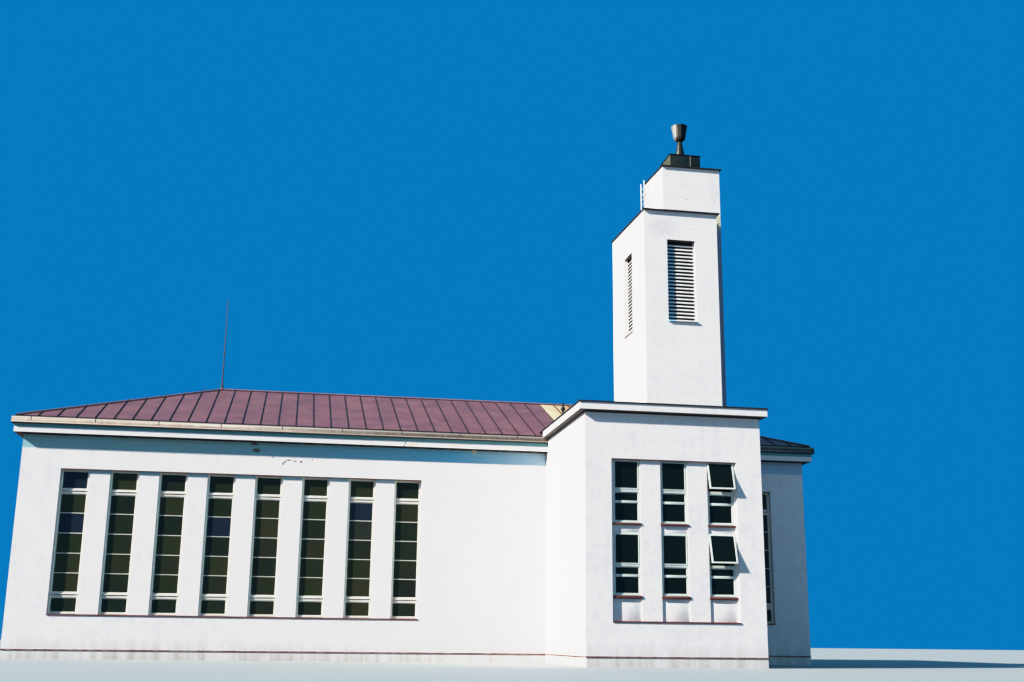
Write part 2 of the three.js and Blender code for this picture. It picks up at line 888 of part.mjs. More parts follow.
// Louvre screen on a front face at y = face, centred on x. The slats stand between the jambs, in front
// of two stiles that carry them, and shed water outwards onto the sill.
function louvre(centre, face, width) {
  const x0 = centre - width / 2 + gap;
  const x1 = centre + width / 2 - gap;
  const y0 = face + louvreSetback;
  const y1 = y0 + louvreDepth;
  const sillTop = louvreBottom + louvreSill;
  const middleY = y0 + slatWidth / 2;
  const stiles = [x0 + stileInset, x1 - stileInset - louvreStile].map((x) => box(
    [x, middleY, sillTop - 1],
    [x + louvreStile, y1, louvreTop - gap],
  ));
  const sill = box([x0, face - 1, louvreBottom + gap], [x1, y1, sillTop]);
  const lip = box(
    [x0 - louvreSillLap, face - louvreSillReach, sillTop - louvreSillEdge],
    [x1 + louvreSillLap, face - gap, sillTop - 2],
  );
  const slats = Array.from({ length: slatCount }, (_, i) => box(
    [x0, -slatWidth / 2, -slatThickness / 2],
    [x1, slatWidth / 2, slatThickness / 2],
  )
    .rotate([THREE.MathUtils.radToDeg(slatTilt), 0, 0])
    .translate([0, middleY, sillTop + lowestSlat + i * slatPitch]));
  return join(...stiles, sill, lip, ...slats);
}

// Dark sheet that closes the opening behind a louvre
function louvreBacking(centre, face, width) {
  const y0 = face + louvreSetback + louvreDepth + gap;
  return box(
    [centre - width / 2 + gap, y0, louvreBottom + gap],
    [centre + width / 2 - gap, y0 + louvreBackingSheet, louvreTop - gap],
  );
}

// Pieces of the left and back openings are made at the origin facing forwards, then turned
function onLeftFace(body) {
  return body.rotate([0, 0, -90]).translate([towerLeft, towerCentreY, 0]);
}

function onBackFace(body) {
  return body.rotate([0, 0, 180]).translate([towerCentreX, towerBack, 0]);
}

// Ladder up the shaft's left face
function towerLadder() {
  const x = shaftLeft - ladderStandoff;
  const rails = [ladderFront, ladderFront + ladderWidth];
  const foot = (y) => roofSheetTop + towerRise(y + railRadius) + gap;
  const parts = rails.map((y) => rod([x, y, foot(y)], [x, y, ladderTop], railRadius, 8));
  for (let z = roofSheetTop + rungPitch; z < ladderTop - rungPitch / 2; z += rungPitch) {
    parts.push(rod([x, rails[0], z], [x, rails[1], z], rungRadius, 6));
  }
  for (const z of [roofSheetTop + 2.5 * rungPitch, shaftTop - 1.5 * rungPitch]) {
    for (const y of rails) {
      parts.push(box(
        [x, y - bracketHalf, z - bracketHalf],
        [shaftLeft - gap, y + bracketHalf, z + bracketHalf],
      ));
    }
  }
  return join(...parts);
}

// Copper-clad box cut to the fall of the shaft's roof, under a lid with a folded edge
function copperPlinth() {
  const half = plinthWidth / 2;
  const lid = half + plinthLidReach;
  const lidBottom = plinthTop - plinthLid;
  const body = box(
    [topCentreX - half, topCentreY - half, towerTop + gap],
    [topCentreX + half, topCentreY + half, lidBottom + 1],
  );
  const cut = body.warp((point) => {
    if (point[2] < towerTop + 1) {
      point[2] += shaftRise(point[1]);
    }
  });
  return join(cut, box(
    [topCentreX - lid, topCentreY - lid, lidBottom],
    [topCentreX + lid, topCentreY + lid, plinthTop],
  ));
}

// Twelve-sided chalice about its own axis: conical foot, slim neck and an open cup
function chalice() {
  const neck = chaliceNeck;
  const outside = [
    [0, 0],
    [285, 0],
    [280, 60],
    [230, 320],
    [118, neck - 20],
    [118, neck],
    [250, neck + 104],
    [303, neck + 200],
    [332, neck + 405],
    [371, neck + 612],
    [cupRim, chaliceHeight],
  ];
  const inside = [
    [cupRim - cupSheet, chaliceHeight],
    [371 - cupSheet, neck + 612],
    [332 - cupSheet, neck + 405],
    [303 - cupSheet, neck + 215],
    [235, neck + 135],
    [0, neck + 100],
  ];
  const profile = [...outside, ...inside].map(([r, z]) => new THREE.Vector2(r, z));
  const cup = new THREE.LatheGeometry(profile, chaliceSides);
  cup.rotateX(Math.PI / 2);
  cup.translate(topCentreX, topCentreY, plinthTop);
  return solid(cup);
}

addPiece('nave_front_wall', naveFrontWall(), render);
addPiece('nave_back_wall', naveBackWall(), render);
addPiece('nave_left_wall', naveLeftWall(), render);
addPiece('nave_right_wall', naveRightWall(), render);
addPiece('nave_floor', naveFloor(), concrete);
addPiece('entrance_door', entranceDoor(), doorBrown, 0.6);
addPiece('nave_front_left_windows', windowRow(leftStarts), frameCream, 0.6);
addPiece('nave_front_right_windows', windowRow(rightStarts), frameCream, 0.6);
addPiece('nave_back_windows', toBack(windowRow(backStarts)), frameCream, 0.6);
addPiece('nave_front_glass', rowGlass(firstLeftWindow, rightStarts.at(-1)), glassDark, 0.08);
addPiece('nave_back_glass', toBack(rowGlass(backStarts[0], backStarts.at(-1))), glassDark, 0.08);
addPiece('nave_cornice', naveCornice(), render);
const gutterRuns = {
  gutter_front_left: gutterFrontRun(-gutterReach - 1, blockLeft - gap),
  gutter_front_right: gutterFrontRun(blockRight + gap, naveLength + gutterReach + 1),
  gutter_back: toBack(gutterFrontSide()),
  gutter_left: gutterLeftSide(),
  gutter_right: toBack(gutterLeftSide()),
};
for (const [name, run] of Object.entries(gutterRuns)) {
  addPiece(name, run, gutterTan, 0.6, 0.3);
}
addPiece('nave_roof_front', roofFront(), roofPaint, 0.55, 0.3);
addPiece('nave_roof_back', roofBack(), roofPaint, 0.55, 0.3);
addPiece('nave_roof_left_end', roofLeftEnd(), roofPaint, 0.55, 0.3);
addPiece('nave_roof_right_end', toBack(roofLeftEnd()), roofPaint, 0.55, 0.3);
addPiece('ridge_roll', ridgeRoll(), ridgePink, 0.5, 0.3);
addPiece('lightning_rod', lightningRod(), rodBrown, 0.6, 0.5);

addPiece('block_front_wall', blockFrontWall(), render);
addPiece('block_left_wall', blockLeftWall(), render);
addPiece('block_right_wall', blockRightWall(), render);
addPiece('block_lower_floor', blockFloor(lowerSill[0]), concrete);
addPiece('block_upper_floor', blockFloor(upperSill[0]), concrete);
addPiece('block_roof_slab', blockRoofSlab(), render);
addPiece('block_roof_sheet', blockRoofSheet(), sheetEdge, 0.5, 0.4);
addPiece('block_front_bays', bayInfill(0, bayCount - 2), frameCream, 0.6);
addPiece('block_open_bay', bayInfill(bayCount - 1, bayCount - 1, true), frameCream, 0.6);
addPiece('block_right_bays', toBlockRight(bayInfill(0, bayCount - 1)), frameCream, 0.6);
addPiece('block_lower_glass', storeyGlass(lowerWindow, lowerTransom[1]), glassDark, 0.08);
addPiece('block_upper_glass', storeyGlass(upperWindow, upperTransom[1]), glassDark, 0.08);
addPiece('open_casement_lower', openCasement(lowerTransom[1], lowerWindow[1]), frameCream, 0.6);
addPiece('open_casement_upper', openCasement(upperTransom[1], upperWindow[1]), frameCream, 0.6);
addPiece('roof_vent', roofVent(), ventGrey, 0.5, 0.5);

addPiece('tower_front_wall', towerFrontWall(), render);
addPiece('tower_back_wall', towerBackWall(), render);
addPiece('tower_left_wall', towerLeftWall(), render);
addPiece('tower_right_wall', towerRightWall(), render);
addPiece('tower_slab', towerSlab(), render);
addPiece('tower_roof_sheet', towerRoofSheet(), sheetEdge, 0.5, 0.4);
addPiece('tower_shaft', shaftWalls(), render);
addPiece('shaft_roof_sheet', shaftRoofSheet(), sheetEdge, 0.5, 0.4);
addPiece('front_louvre', louvre(towerCentreX, towerFront, frontLouvreWidth), render, 0.7);
addPiece('left_louvre', onLeftFace(louvre(0, 0, sideLouvreWidth)), render, 0.7);
addPiece('back_louvre', onBackFace(louvre(0, 0, frontLouvreWidth)), render, 0.7);
addPiece('front_louvre_backing', louvreBacking(towerCentreX, towerFront, frontLouvreWidth), sheetEdge);
addPiece('left_louvre_backing', onLeftFace(louvreBacking(0, 0, sideLouvreWidth)), sheetEdge);
addPiece('back_louvre_backing', onBackFace(louvreBacking(0, 0, frontLouvreWidth)), sheetEdge);
addPiece('tower_ladder', towerLadder(), ladderWhite, 0.5, 0.3);
addPiece('copper_plinth', copperPlinth(), copper, 0.6, 0.6);
addPiece('chalice', chalice(), bronze, 0.45, 0.8);

// The origin is at the ground under the middle of the whole building
const frontReach = blockFront - blockSheetReach;
const backReach = naveDepth + gutterReach;
building.position.set(-naveLength / 2, -(frontReach + backReach) / 2, 0);

export default building;
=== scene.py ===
# %% [markdown]
# # A white church hall with a bell tower
# This lesson dresses a building in Blender. Its plain solids come in as a fixed frame, and nothing
# here moves them. Walls and roof slopes keep their solids and get a finish. Windows, gutters and
# other fine work are modelled anew in the place of the plain solid, with the tools a person uses.

# %% Load the frame
from math import asin, atan2, cos, hypot, pi, radians, sin

import bpy
from mathutils import Matrix, Vector


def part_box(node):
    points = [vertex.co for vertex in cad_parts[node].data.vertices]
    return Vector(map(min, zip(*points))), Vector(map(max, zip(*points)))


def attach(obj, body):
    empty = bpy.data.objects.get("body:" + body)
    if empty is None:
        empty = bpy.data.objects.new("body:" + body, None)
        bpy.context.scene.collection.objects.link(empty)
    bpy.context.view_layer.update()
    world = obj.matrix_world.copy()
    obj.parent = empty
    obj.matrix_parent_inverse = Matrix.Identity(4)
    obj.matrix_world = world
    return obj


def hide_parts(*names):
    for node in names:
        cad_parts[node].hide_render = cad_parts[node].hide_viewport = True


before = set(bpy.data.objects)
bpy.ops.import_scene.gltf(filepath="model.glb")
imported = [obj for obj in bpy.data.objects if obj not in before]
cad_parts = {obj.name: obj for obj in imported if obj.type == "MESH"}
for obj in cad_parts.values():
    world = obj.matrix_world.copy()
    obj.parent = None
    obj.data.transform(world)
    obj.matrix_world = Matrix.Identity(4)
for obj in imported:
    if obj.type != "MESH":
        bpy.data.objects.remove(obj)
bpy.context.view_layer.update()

# %% [markdown]
# ## The hall's own measure
# A builder measures from a corner. So every piece below is made in metres from the hall's front
# left corner at the ground: x to the right, y from front to back, z up. The last step of each piece
# moves its mesh into the frame.

# %% The hall's corner
BASE_LINE_REACH = 0.025
wall_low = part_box("nave_front_wall")[0]
CORNER = Vector((wall_low.x, wall_low.y + BASE_LINE_REACH, 0.0))
HALL_LENGTH, HALL_DEPTH = 37.4, 14.4
PITCH, WINDOW_LEFT, WINDOW_WIDTH = 2.16, 1.755, 1.27
print("hall corner in the frame:", [round(value, 4) for value in CORNER])

# %% [markdown]
# ## Small helpers for modelling
# Blender's operators act on whatever is selected, so each helper first selects its one piece alone.
# The helpers are the steps a person repeats by hand: add boxes, apply a modifier, soften edges, cut
# with a plane.

# %% Select, settle and copy
def deselect():
    bpy.ops.object.select_all(action="DESELECT")


def edit_all():
    bpy.ops.object.mode_set(mode="EDIT")
    bpy.ops.mesh.select_all(action="SELECT")


def leave_edit():
    bpy.ops.object.mode_set(mode="OBJECT")


def discard(*pieces):
    for piece in pieces:
        bpy.data.objects.remove(piece)


def alone(piece):
    deselect()
    piece.select_set(True)
    bpy.context.view_layer.objects.active = piece


def settle(piece, place=(0, 0, 0), turn=0.0, tilt=0.0, lean=0.0):
    """Turn a piece about the corner, move it, and write both into its mesh."""
    alone(piece)
    piece.rotation_euler = (tilt, lean, turn)
    piece.location = place
    bpy.ops.object.transform_apply(location=True, rotation=True, scale=True)
    return piece


def twin(piece, name, place=(0, 0, 0), turn=0.0):
    """A copy with its own mesh, put somewhere else."""
    alone(piece)
    bpy.ops.object.duplicate(linked=False)
    copy = bpy.context.object
    copy.name = name
    return settle(copy, place, turn)


def joined(name, pieces):
    alone(pieces[0])
    for piece in pieces:
        piece.select_set(True)
    bpy.ops.object.join()
    pieces[0].name = name
    return pieces[0]


# %% Modifiers and soft edges
def modify(piece, kind, **settings):
    modifier = piece.modifiers.new(kind.title(), kind)
    for key, value in settings.items():
        setattr(modifier, key, value)
    alone(piece)
    bpy.ops.object.modifier_apply(modifier=modifier.name)
    return piece


def soften(piece, width, segments=2):
    modify(piece, "BEVEL", width=width, segments=segments, limit_method="ANGLE", angle_limit=0.6)
    bpy.ops.object.shade_smooth_by_angle(angle=0.7)
    return piece


def row(piece, count, step):
    return modify(
        piece, "ARRAY", count=count, use_relative_offset=False,
        use_constant_offset=True, constant_offset_displace=step,
    )


# %% Boxes and bars
def add_cube(low, high):
    low, high = Vector(low), Vector(high)
    bpy.ops.mesh.primitive_cube_add(size=1, location=(low + high) / 2, scale=high - low)


def bars(name, spans, *soft):
    """Square bars in one mesh, each from a low corner to a high corner, softened if asked."""
    deselect()
    add_cube(*spans[0])
    piece = bpy.context.object
    piece.name = name
    settle(piece, piece.location)
    bpy.ops.object.mode_set(mode="EDIT")
    for low, high in spans[1:]:
        add_cube(low, high)
    leave_edit()
    return soften(piece, *soft) if soft else piece


def bar(name, low, high, *soft):
    return bars(name, [(low, high)], *soft)


# %% Pick faces by place, and cut with a plane
def pick(piece, wanted):
    """Enter edit mode with only the faces selected whose centre is wanted."""
    alone(piece)
    bpy.ops.object.mode_set(mode="EDIT")
    bpy.ops.mesh.select_mode(type="FACE")
    bpy.ops.mesh.select_all(action="DESELECT")
    leave_edit()
    for face in piece.data.polygons:
        face.select = bool(wanted(face.center))
    bpy.ops.object.mode_set(mode="EDIT")


def squeeze(piece, wanted, scale):
    """Narrow a piece at the wanted faces."""
    pick(piece, wanted)
    bpy.ops.transform.resize(value=scale)
    leave_edit()


def trim(piece, point, outward, wanted=lambda centre: True):
    """Cut off what lies beyond a plane, and close the cut."""
    pick(piece, wanted)
    bpy.ops.mesh.bisect(plane_co=point, plane_no=outward, clear_outer=True, use_fill=True)
    leave_edit()
    return piece


# %% [markdown]
# A window frame is easiest as one flat board with holes. A plane is cut along the edge of every
# opening, the faces inside are deleted, and Solidify gives the board its thickness. Corners then
# join perfectly.

# %% A board with openings, each opening (x0, x1, z0, z1)
def within(opening, amount):
    x0, x1, z0, z1 = opening
    return (x0 + amount, x1 - amount, z0 + amount, z1 - amount)


def inside(openings):
    return lambda centre: any(
        x0 < centre.x < x1 and z0 < centre.z < z1 for x0, x1, z0, z1 in openings
    )


def lattice(name, span, front, depth, openings, *soft):
    """A board over span (x0, x1, z0, z1) from y = front backwards, cut out at the openings."""
    x0, x1, z0, z1 = span
    deselect()
    bpy.ops.mesh.primitive_plane_add(
        size=1, location=((x0 + x1) / 2, front, (z0 + z1) / 2), rotation=(pi / 2, 0, 0),
    )
    board = bpy.context.object
    board.name = name
    board.scale = (x1 - x0, z1 - z0, 1)
    bpy.ops.object.transform_apply(location=True, rotation=True, scale=True)
    bpy.ops.object.mode_set(mode="EDIT")
    for x in sorted({edge for opening in openings for edge in opening[:2]}):
        bpy.ops.mesh.select_all(action="SELECT")
        bpy.ops.mesh.bisect(plane_co=(x, 0, 0), plane_no=(1, 0, 0))
    for z in sorted({edge for opening in openings for edge in opening[2:]}):
        bpy.ops.mesh.select_all(action="SELECT")
        bpy.ops.mesh.bisect(plane_co=(0, 0, z), plane_no=(0, 0, 1))
    leave_edit()
    pick(board, inside(openings))
    bpy.ops.mesh.delete(type="FACE")
    leave_edit()
    modify(board, "SOLIDIFY", thickness=depth, offset=-1, use_even_offset=True)
    return soften(board, *soft) if soft else board


def panes(name, openings, front, thickness=0.006, lap=0.012):
    """Sheets of glass that lap a little into the frame round each opening."""
    return bars(name, [
        ((x0 - lap, front, z0 - lap), (x1 + lap, front + thickness, z1 + lap))
        for x0, x1, z0, z1 in openings
    ])


# %% [markdown]
# Sheet metal is folded from a strip. Its outline is drawn as a chain: a plane is merged into one
# point, and that point is extruded from corner to corner. The chain is extruded along its length
# and given the thickness of sheet. Spun round an axis, a chain makes a turned piece.

# %% Chains of points, folded strips and turned shapes
def chain(name, points):
    """A chain of edges through the points."""
    deselect()
    bpy.ops.mesh.primitive_plane_add(size=0.01, location=points[0])
    piece = bpy.context.object
    piece.name = name
    settle(piece, piece.location)
    bpy.ops.object.mode_set(mode="EDIT")
    bpy.ops.mesh.select_mode(type="VERT")
    bpy.ops.mesh.select_all(action="SELECT")
    bpy.ops.mesh.merge(type="CENTER")
    for before, after in zip(points, points[1:]):
        step = Vector(after) - Vector(before)
        bpy.ops.mesh.extrude_region_move(TRANSFORM_OT_translate={"value": step})
    leave_edit()
    return piece


def folded(name, outline, x0, x1, thickness=0.003):
    """A strip folded to an outline of (y, z) points, running from x0 to x1."""
    piece = chain(name, [(x0, y, z) for y, z in outline])
    edit_all()
    bpy.ops.mesh.extrude_region_move(TRANSFORM_OT_translate={"value": (x1 - x0, 0, 0)})
    bpy.ops.mesh.select_all(action="SELECT")
    bpy.ops.mesh.normals_make_consistent(inside=False)
    leave_edit()
    return modify(piece, "SOLIDIFY", thickness=thickness, offset=0)


def round_bar(name, start, end, radius, sides=16, top_radius=None):
    """A bar from start to end, tapered if it has a top radius, with softened ends."""
    start, end = Vector(start), Vector(end)
    along = end - start
    deselect()
    bpy.ops.mesh.primitive_cone_add(
        vertices=sides, radius1=radius, radius2=top_radius or radius, depth=along.length,
        location=(start + end) / 2, rotation=along.to_track_quat("Z", "Y").to_euler(),
    )
    piece = bpy.context.object
    piece.name = name
    bpy.ops.object.transform_apply(location=True, rotation=True, scale=True)
    return soften(piece, radius * 0.15)

# %% [markdown]
# ## Finishes
# A finish is a tree of nodes. Three effects return in many finishes, so each is a node group:
# weather (large patches, streaks that run down, fine grain), a band between two values of one
# coordinate, and a spot at one place. A group only gives masks. The shader stays in the material.

# %% Short ways to add nodes
class Tree:
    """A node tree, with short ways to add and join the nodes used here."""

    def __init__(self, tree):
        self.tree = tree

    def feed(self, socket, value):
        """Link a socket to an input, or write a plain value into it."""
        if isinstance(value, bpy.types.NodeSocket):
            self.tree.links.new(value, socket)
        else:
            socket.default_value = (*value, 1.0) if socket.type == "RGBA" else value

    def node(self, kind, inputs=None, **settings):
        made = self.tree.nodes.new("ShaderNode" + kind)
        for key, value in settings.items():
            setattr(made, key, value)
        for key, value in (inputs or {}).items():
            self.feed(made.inputs[key], value)
        return made.outputs

    def maths(self, operation, first, second=0.0, clamp=False):
        return self.node("Math", {0: first, 1: second}, operation=operation, use_clamp=clamp)[0]

    def times(self, first, *others):
        for value in others:
            first = self.maths("MULTIPLY", first, value)
        return first

    def mix(self, factor, first, second):
        """Blend two colours, 0 giving the first and 1 the second."""
        return self.node("Mix", {0: factor, 6: first, 7: second}, data_type="RGBA")[2]

    def remap(self, value, low, high, to_low=0.0, to_high=1.0):
        return self.node("MapRange", {
            "Value": value, "From Min": low, "From Max": high, "To Min": to_low, "To Max": to_high,
        })[0]

    def noise(self, vector, scale, detail, roughness=0.5):
        return self.node("TexNoise", {
            "Vector": vector, "Scale": scale, "Detail": detail, "Roughness": roughness,
        })[0]


def new_group(name, inputs, outputs):
    """An empty node group with named inputs and outputs."""
    group = Tree(bpy.data.node_groups.new(name, "ShaderNodeTree"))
    sockets = group.tree.interface
    for label, value in inputs.items():
        kind = "NodeSocketFloat" if isinstance(value, float) else "NodeSocketVector"
        sockets.new_socket(label, in_out="INPUT", socket_type=kind).default_value = value
    for label in outputs:
        sockets.new_socket(label, in_out="OUTPUT", socket_type="NodeSocketFloat")
    ends = [group.tree.nodes.new("NodeGroup" + end) for end in ("Input", "Output")]
    return group, ends[0].outputs, ends[1].inputs


# %% Weather: patches, streaks and grain
ORIGIN = (0.0, 0.0, 0.0)
WEATHER, given, result = new_group(
    "weather",
    {"Vector": ORIGIN, "Patch size": 1.5, "Streak width": 0.25, "Grain size": 0.01},
    ("Patches", "Streaks", "Grain"),
)
drawn_out = WEATHER.node("Mapping", {"Vector": given["Vector"], "Scale": (1.0, 1.0, 0.07)})[0]
for label, vector, size, detail, roughness in (
    ("Patches", given["Vector"], "Patch size", 5.0, 0.6),
    ("Streaks", drawn_out, "Streak width", 4.0, 0.55),
    ("Grain", given["Vector"], "Grain size", 3.0, 0.7),
):
    scale = WEATHER.maths("DIVIDE", 1.0, given[size])
    texture = WEATHER.noise(vector, scale, detail, roughness)
    WEATHER.feed(result[label], WEATHER.remap(texture, 0.3, 0.7))

# %% Band: 1 between two values of one coordinate
BAND, given, result = new_group(
    "band", {"Value": 0.0, "Low": 0.0, "High": 1.0, "Soft": 0.01}, ("Mask",))
rise = BAND.maths("SUBTRACT", given["Value"], given["Low"])
fall = BAND.maths("SUBTRACT", given["High"], given["Value"])
edge = BAND.maths("DIVIDE", BAND.maths("MINIMUM", rise, fall), given["Soft"])
BAND.feed(result["Mask"], BAND.maths("ADD", edge, 0.5, clamp=True))

# %% Spot: 1 inside a ragged oval at one place
SPOT, given, result = new_group(
    "spot",
    {"Vector": ORIGIN, "Place": ORIGIN, "Half size": (0.2, 0.2, 0.2), "Ragged": 0.5,
     "Raggedness size": 0.1},
    ("Mask",),
)
away = SPOT.node("VectorMath", {0: given["Vector"], 1: given["Place"]}, operation="SUBTRACT")[0]
away = SPOT.node("VectorMath", {0: away, 1: given["Half size"]}, operation="DIVIDE")[0]
distance = SPOT.node("VectorMath", {0: away}, operation="LENGTH")[1]
torn = SPOT.noise(given["Vector"], SPOT.maths("DIVIDE", 1.0, given["Raggedness size"]), 4.0)
torn = SPOT.times(SPOT.maths("SUBTRACT", torn, 0.5), given["Ragged"], 4.0)
SPOT.feed(result["Mask"], SPOT.remap(SPOT.maths("ADD", distance, torn), 1.0, 0.75))
print("shared node groups:", [tree.name for tree in bpy.data.node_groups])


# %% A finish: one material, and the colour built up so far
class Finish(Tree):
    def __init__(self, name, **settings):
        self.material = bpy.data.materials.new(name)
        self.material.use_nodes = True
        super().__init__(self.material.node_tree)
        self.shader = self.tree.nodes["Principled BSDF"].inputs
        for key, value in settings.items():
            self.shader[key.replace("_", " ")].default_value = value
        self.place = self.node("TexCoord")["Object"]

    def use(self, group, *values):
        """Place a shared group, its inputs in order."""
        return self.node("Group", dict(enumerate(values)), node_tree=group.tree)

    def weathered(self, patch, streak, grain):
        """Sizes in metres of the patches, the streaks and the grain."""
        self.patches, self.streaks, self.grain = self.use(WEATHER, self.place, patch, streak, grain)

    def axes(self):
        return self.node("SeparateXYZ", {0: self.place})

    def band(self, value, low, high, soft):
        return self.use(BAND, value, low, high, soft)[0]

    def over(self, mask, colour):
        """Paint a colour over what is there, where the mask is 1."""
        self.colour = self.mix(mask, self.colour, colour)

    def strip(self, value, low, high, soft, colour, *shares):
        """Paint a colour over between two values of a coordinate, thinned by the shares."""
        self.over(self.times(self.band(value, low, high, soft), *shares), colour)

    def bump(self, height, distance):
        """Feed a height into the shader's normal; distance is its real depth in metres."""
        self.feed(self.shader["Normal"], self.node("Bump", {
            "Height": height, "Distance": distance, "Strength": 1.0,
        })[0])

    def done(self):
        self.feed(self.shader["Base Color"], self.colour)
        print("finish:", self.material.name, len(self.tree.nodes), "nodes")
        return self.material


# %% [markdown]
# ### White render
# The walls are lime render, and never one white: soft patches, faint grey runs, splashed dirt near
# the ground, a fine grain. Each tint below is painted over the last, in a band of heights or on one
# side: painted shade in blue-green under the cornice, the gutter and the recess heads, in navy
# behind the tower's corner, in brown on undersides and below the block's slab, and in grey on the
# right-hand faces; olive dirt with painted shade, and a dark line of joint and painted shade, at
# the cornice's foot. The spot group places the listed marks one by one: peeled plaster, cracks and
# yellow damp.

# %% White render: colours and marks
WHITE, WHITE_DULL = (0.89, 0.83, 0.8), (0.8, 0.74, 0.71)
RUN_GREY, STAIN_GREY, RIGHT_FACE_PAINTED_SHADE = (0.5, 0.5, 0.48), (0.44, 0.39, 0.36), (0.34, 0.36, 0.4)
DAMP_YELLOW, PEELED, BLOTCH = (0.62, 0.52, 0.26), (0.13, 0.12, 0.11), (0.7, 0.63, 0.61)
TEAL_PAINTED_SHADE, BLUE_PAINTED_SHADE, GUTTER_SHADE = (0.28, 0.53, 0.54), (0.05, 0.405, 0.61), (0.07, 0.31, 0.33)
NAVY_PAINTED_SHADE, OLIVE_GRIME_AND_SHADE, EARTH = (0.22, 0.28, 0.37), (0.13, 0.12, 0.06), (0.42, 0.39, 0.32)
SOFFIT_PAINTED_SHADE, JOINT_AND_SOFFIT_SHADE = (0.075, 0.06, 0.05), (0.035, 0.025, 0.018)
OXIDE_RED = (0.17, 0.05, 0.045)
MARK_DEPTH = 0.2


def in_front(y, *marks):
    """Marks on a wall facing the viewer: x, z and their half sizes, metres in the frame."""
    return [((x, y, z), (half_x, MARK_DEPTH, half_z)) for x, z, half_x, half_z in marks]


def at_left(x, *marks):
    """Marks on a wall facing left: y, z and their half sizes."""
    return [((x, y, z), (MARK_DEPTH, half_y, half_z)) for y, z, half_y, half_z in marks]


HALL_FACE, CORNICE_FACE, TOWER_FACE, SHAFT_FACE, SHAFT_SIDE = -3.29, -3.67, -8.99, -7.98, 10.21
PEELED_MARKS = [
    *in_front(
        HALL_FACE,
        (-8.33, 9.51, 0.19, 0.1), (-8.43, 9.81, 0.24, 0.06), (-7.55, 9.2, 0.05, 0.03),
        (-7.07, 8.92, 0.05, 0.05), (-6.99, 9.0, 0.05, 0.05), (-6.82, 9.1, 0.15, 0.03),
        (-6.53, 9.06, 0.09, 0.025), (-6.24, 9.04, 0.07, 0.05), (-5.74, 9.15, 0.04, 0.025),
    ),
    *in_front(CORNICE_FACE, (-1.48, 9.94, 0.03, 0.06), (-1.42, 10.06, 0.03, 0.06)),
    *in_front(TOWER_FACE, (11.37, 19.88, 0.03, 0.025)),
    *in_front(
        SHAFT_FACE, (11.38, 21.76, 0.03, 0.03), (12.97, 20.62, 0.035, 0.05),
        (12.94, 20.47, 0.03, 0.03),
    ),
    *at_left(
        SHAFT_SIDE,
        (-6.36, 22.54, 0.16, 0.035), (-6.62, 22.55, 0.2, 0.04), (-6.88, 22.54, 0.16, 0.03),
        (-5.12, 22.94, 0.12, 0.06),
    ),
]
DAMP_MARKS = [
    *in_front(CORNICE_FACE, (-1.12, 10.01, 0.3, 0.1), (1.05, 10.02, 0.36, 0.08)),
    *in_front(HALL_FACE, (1.94, 9.82, 0.13, 0.12)),
    *in_front(SHAFT_FACE, (12.96, 20.66, 0.2, 0.45)),
]
GREY_MARKS = [
    *in_front(TOWER_FACE, (9.84, 19.84, 0.85, 0.5)),
    *in_front(SHAFT_FACE, (12.77, 22.23, 0.28, 0.88), (12.95, 20.7, 0.12, 0.6)),
    *at_left(SHAFT_SIDE, (-6.1, 22.3, 0.6, 0.35)),
]

# %% White render: patches, runs, and bands of dirt, paint and painted shade
coat = Finish("white_render", Roughness=0.85)
coat.weathered(2.4, 0.35, 0.012)
x, y, z = coat.axes()
coat.colour = coat.mix(coat.times(coat.patches, 0.35), WHITE, WHITE_DULL)
coat.over(coat.times(coat.streaks, coat.patches, 0.22), RUN_GREY)
coat.strip(z, -1.0, 0.55, 0.9, EARTH, coat.remap(coat.streaks, 0.2, 1.0, 0.25, 0.8))
coat.strip(z, 0.379, 0.431, 0.004, OXIDE_RED)
blotches = coat.noise(coat.place, 3.5, 6.0, 0.7)
coat.over(coat.remap(blotches, 0.45, 0.72, 0.0, 0.55), BLOTCH)
# painted shadow of the cornice: a blue-green band on the hall's front wall, tealer to the left,
# weaker near the block
front = coat.band(y, -3.33, -3.25, 0.005)
dirt_and_shade = coat.mix(coat.remap(x, -11.0, 0.3), TEAL_PAINTED_SHADE, BLUE_PAINTED_SHADE)
coat.strip(z, 9.27, 9.9, 0.03, dirt_and_shade, front, coat.remap(x, 0.8, 5.0, 0.92, 0.55))
# painted shade: teal along the tops of the piers, under the recess head
recess = coat.band(y, -3.24, -3.0, 0.01)
coat.strip(z, 8.2, 8.42, 0.02, TEAL_PAINTED_SHADE, recess, 0.85)
# painted shade of the gutter on the cornice's face just below it
ledge = coat.band(y, -3.75, 11.7, 0.01)
coat.strip(z, 10.145, 10.4, 0.02, GUTTER_SHADE, ledge, 0.9)
# painted shade: navy on the strip of shaft behind the tower's right corner, where the tower's
# shadow falls
proud = coat.band(x, 12.86, 14.0, 0.02)
coat.strip(z, 10.9, 20.42, 0.05, NAVY_PAINTED_SHADE, proud)

# %% White render: painted shade on sides and undersides, and joint lines with painted shade
# painted shade: faces turned to the right, out of the sun, are greyed
facing = coat.node("SeparateXYZ", {0: coat.node("NewGeometry")["Normal"]})
coat.over(coat.remap(facing["X"], 0.7, 0.9, 0.0, 0.6), RIGHT_FACE_PAINTED_SHADE)
# painted shade: undersides, and a band on the block's walls just below its roof slab, are dark
# brown
below = coat.remap(facing["Z"], -0.7, -0.9, 0.0, 0.9)
block = coat.band(y, -12.0, -3.75, 0.01)
top_line = coat.times(block, coat.band(z, 10.49, 10.575, 0.02))
coat.over(coat.maths("MAXIMUM", below, top_line), SOFFIT_PAINTED_SHADE)
hall = coat.band(y, -3.6, 11.4, 0.01)
# olive along the top of the cornice's shadow: patchy dirt and painted shade together
coat.strip(z, 9.74, 9.9, 0.06, OLIVE_GRIME_AND_SHADE, hall, coat.patches, 0.35)
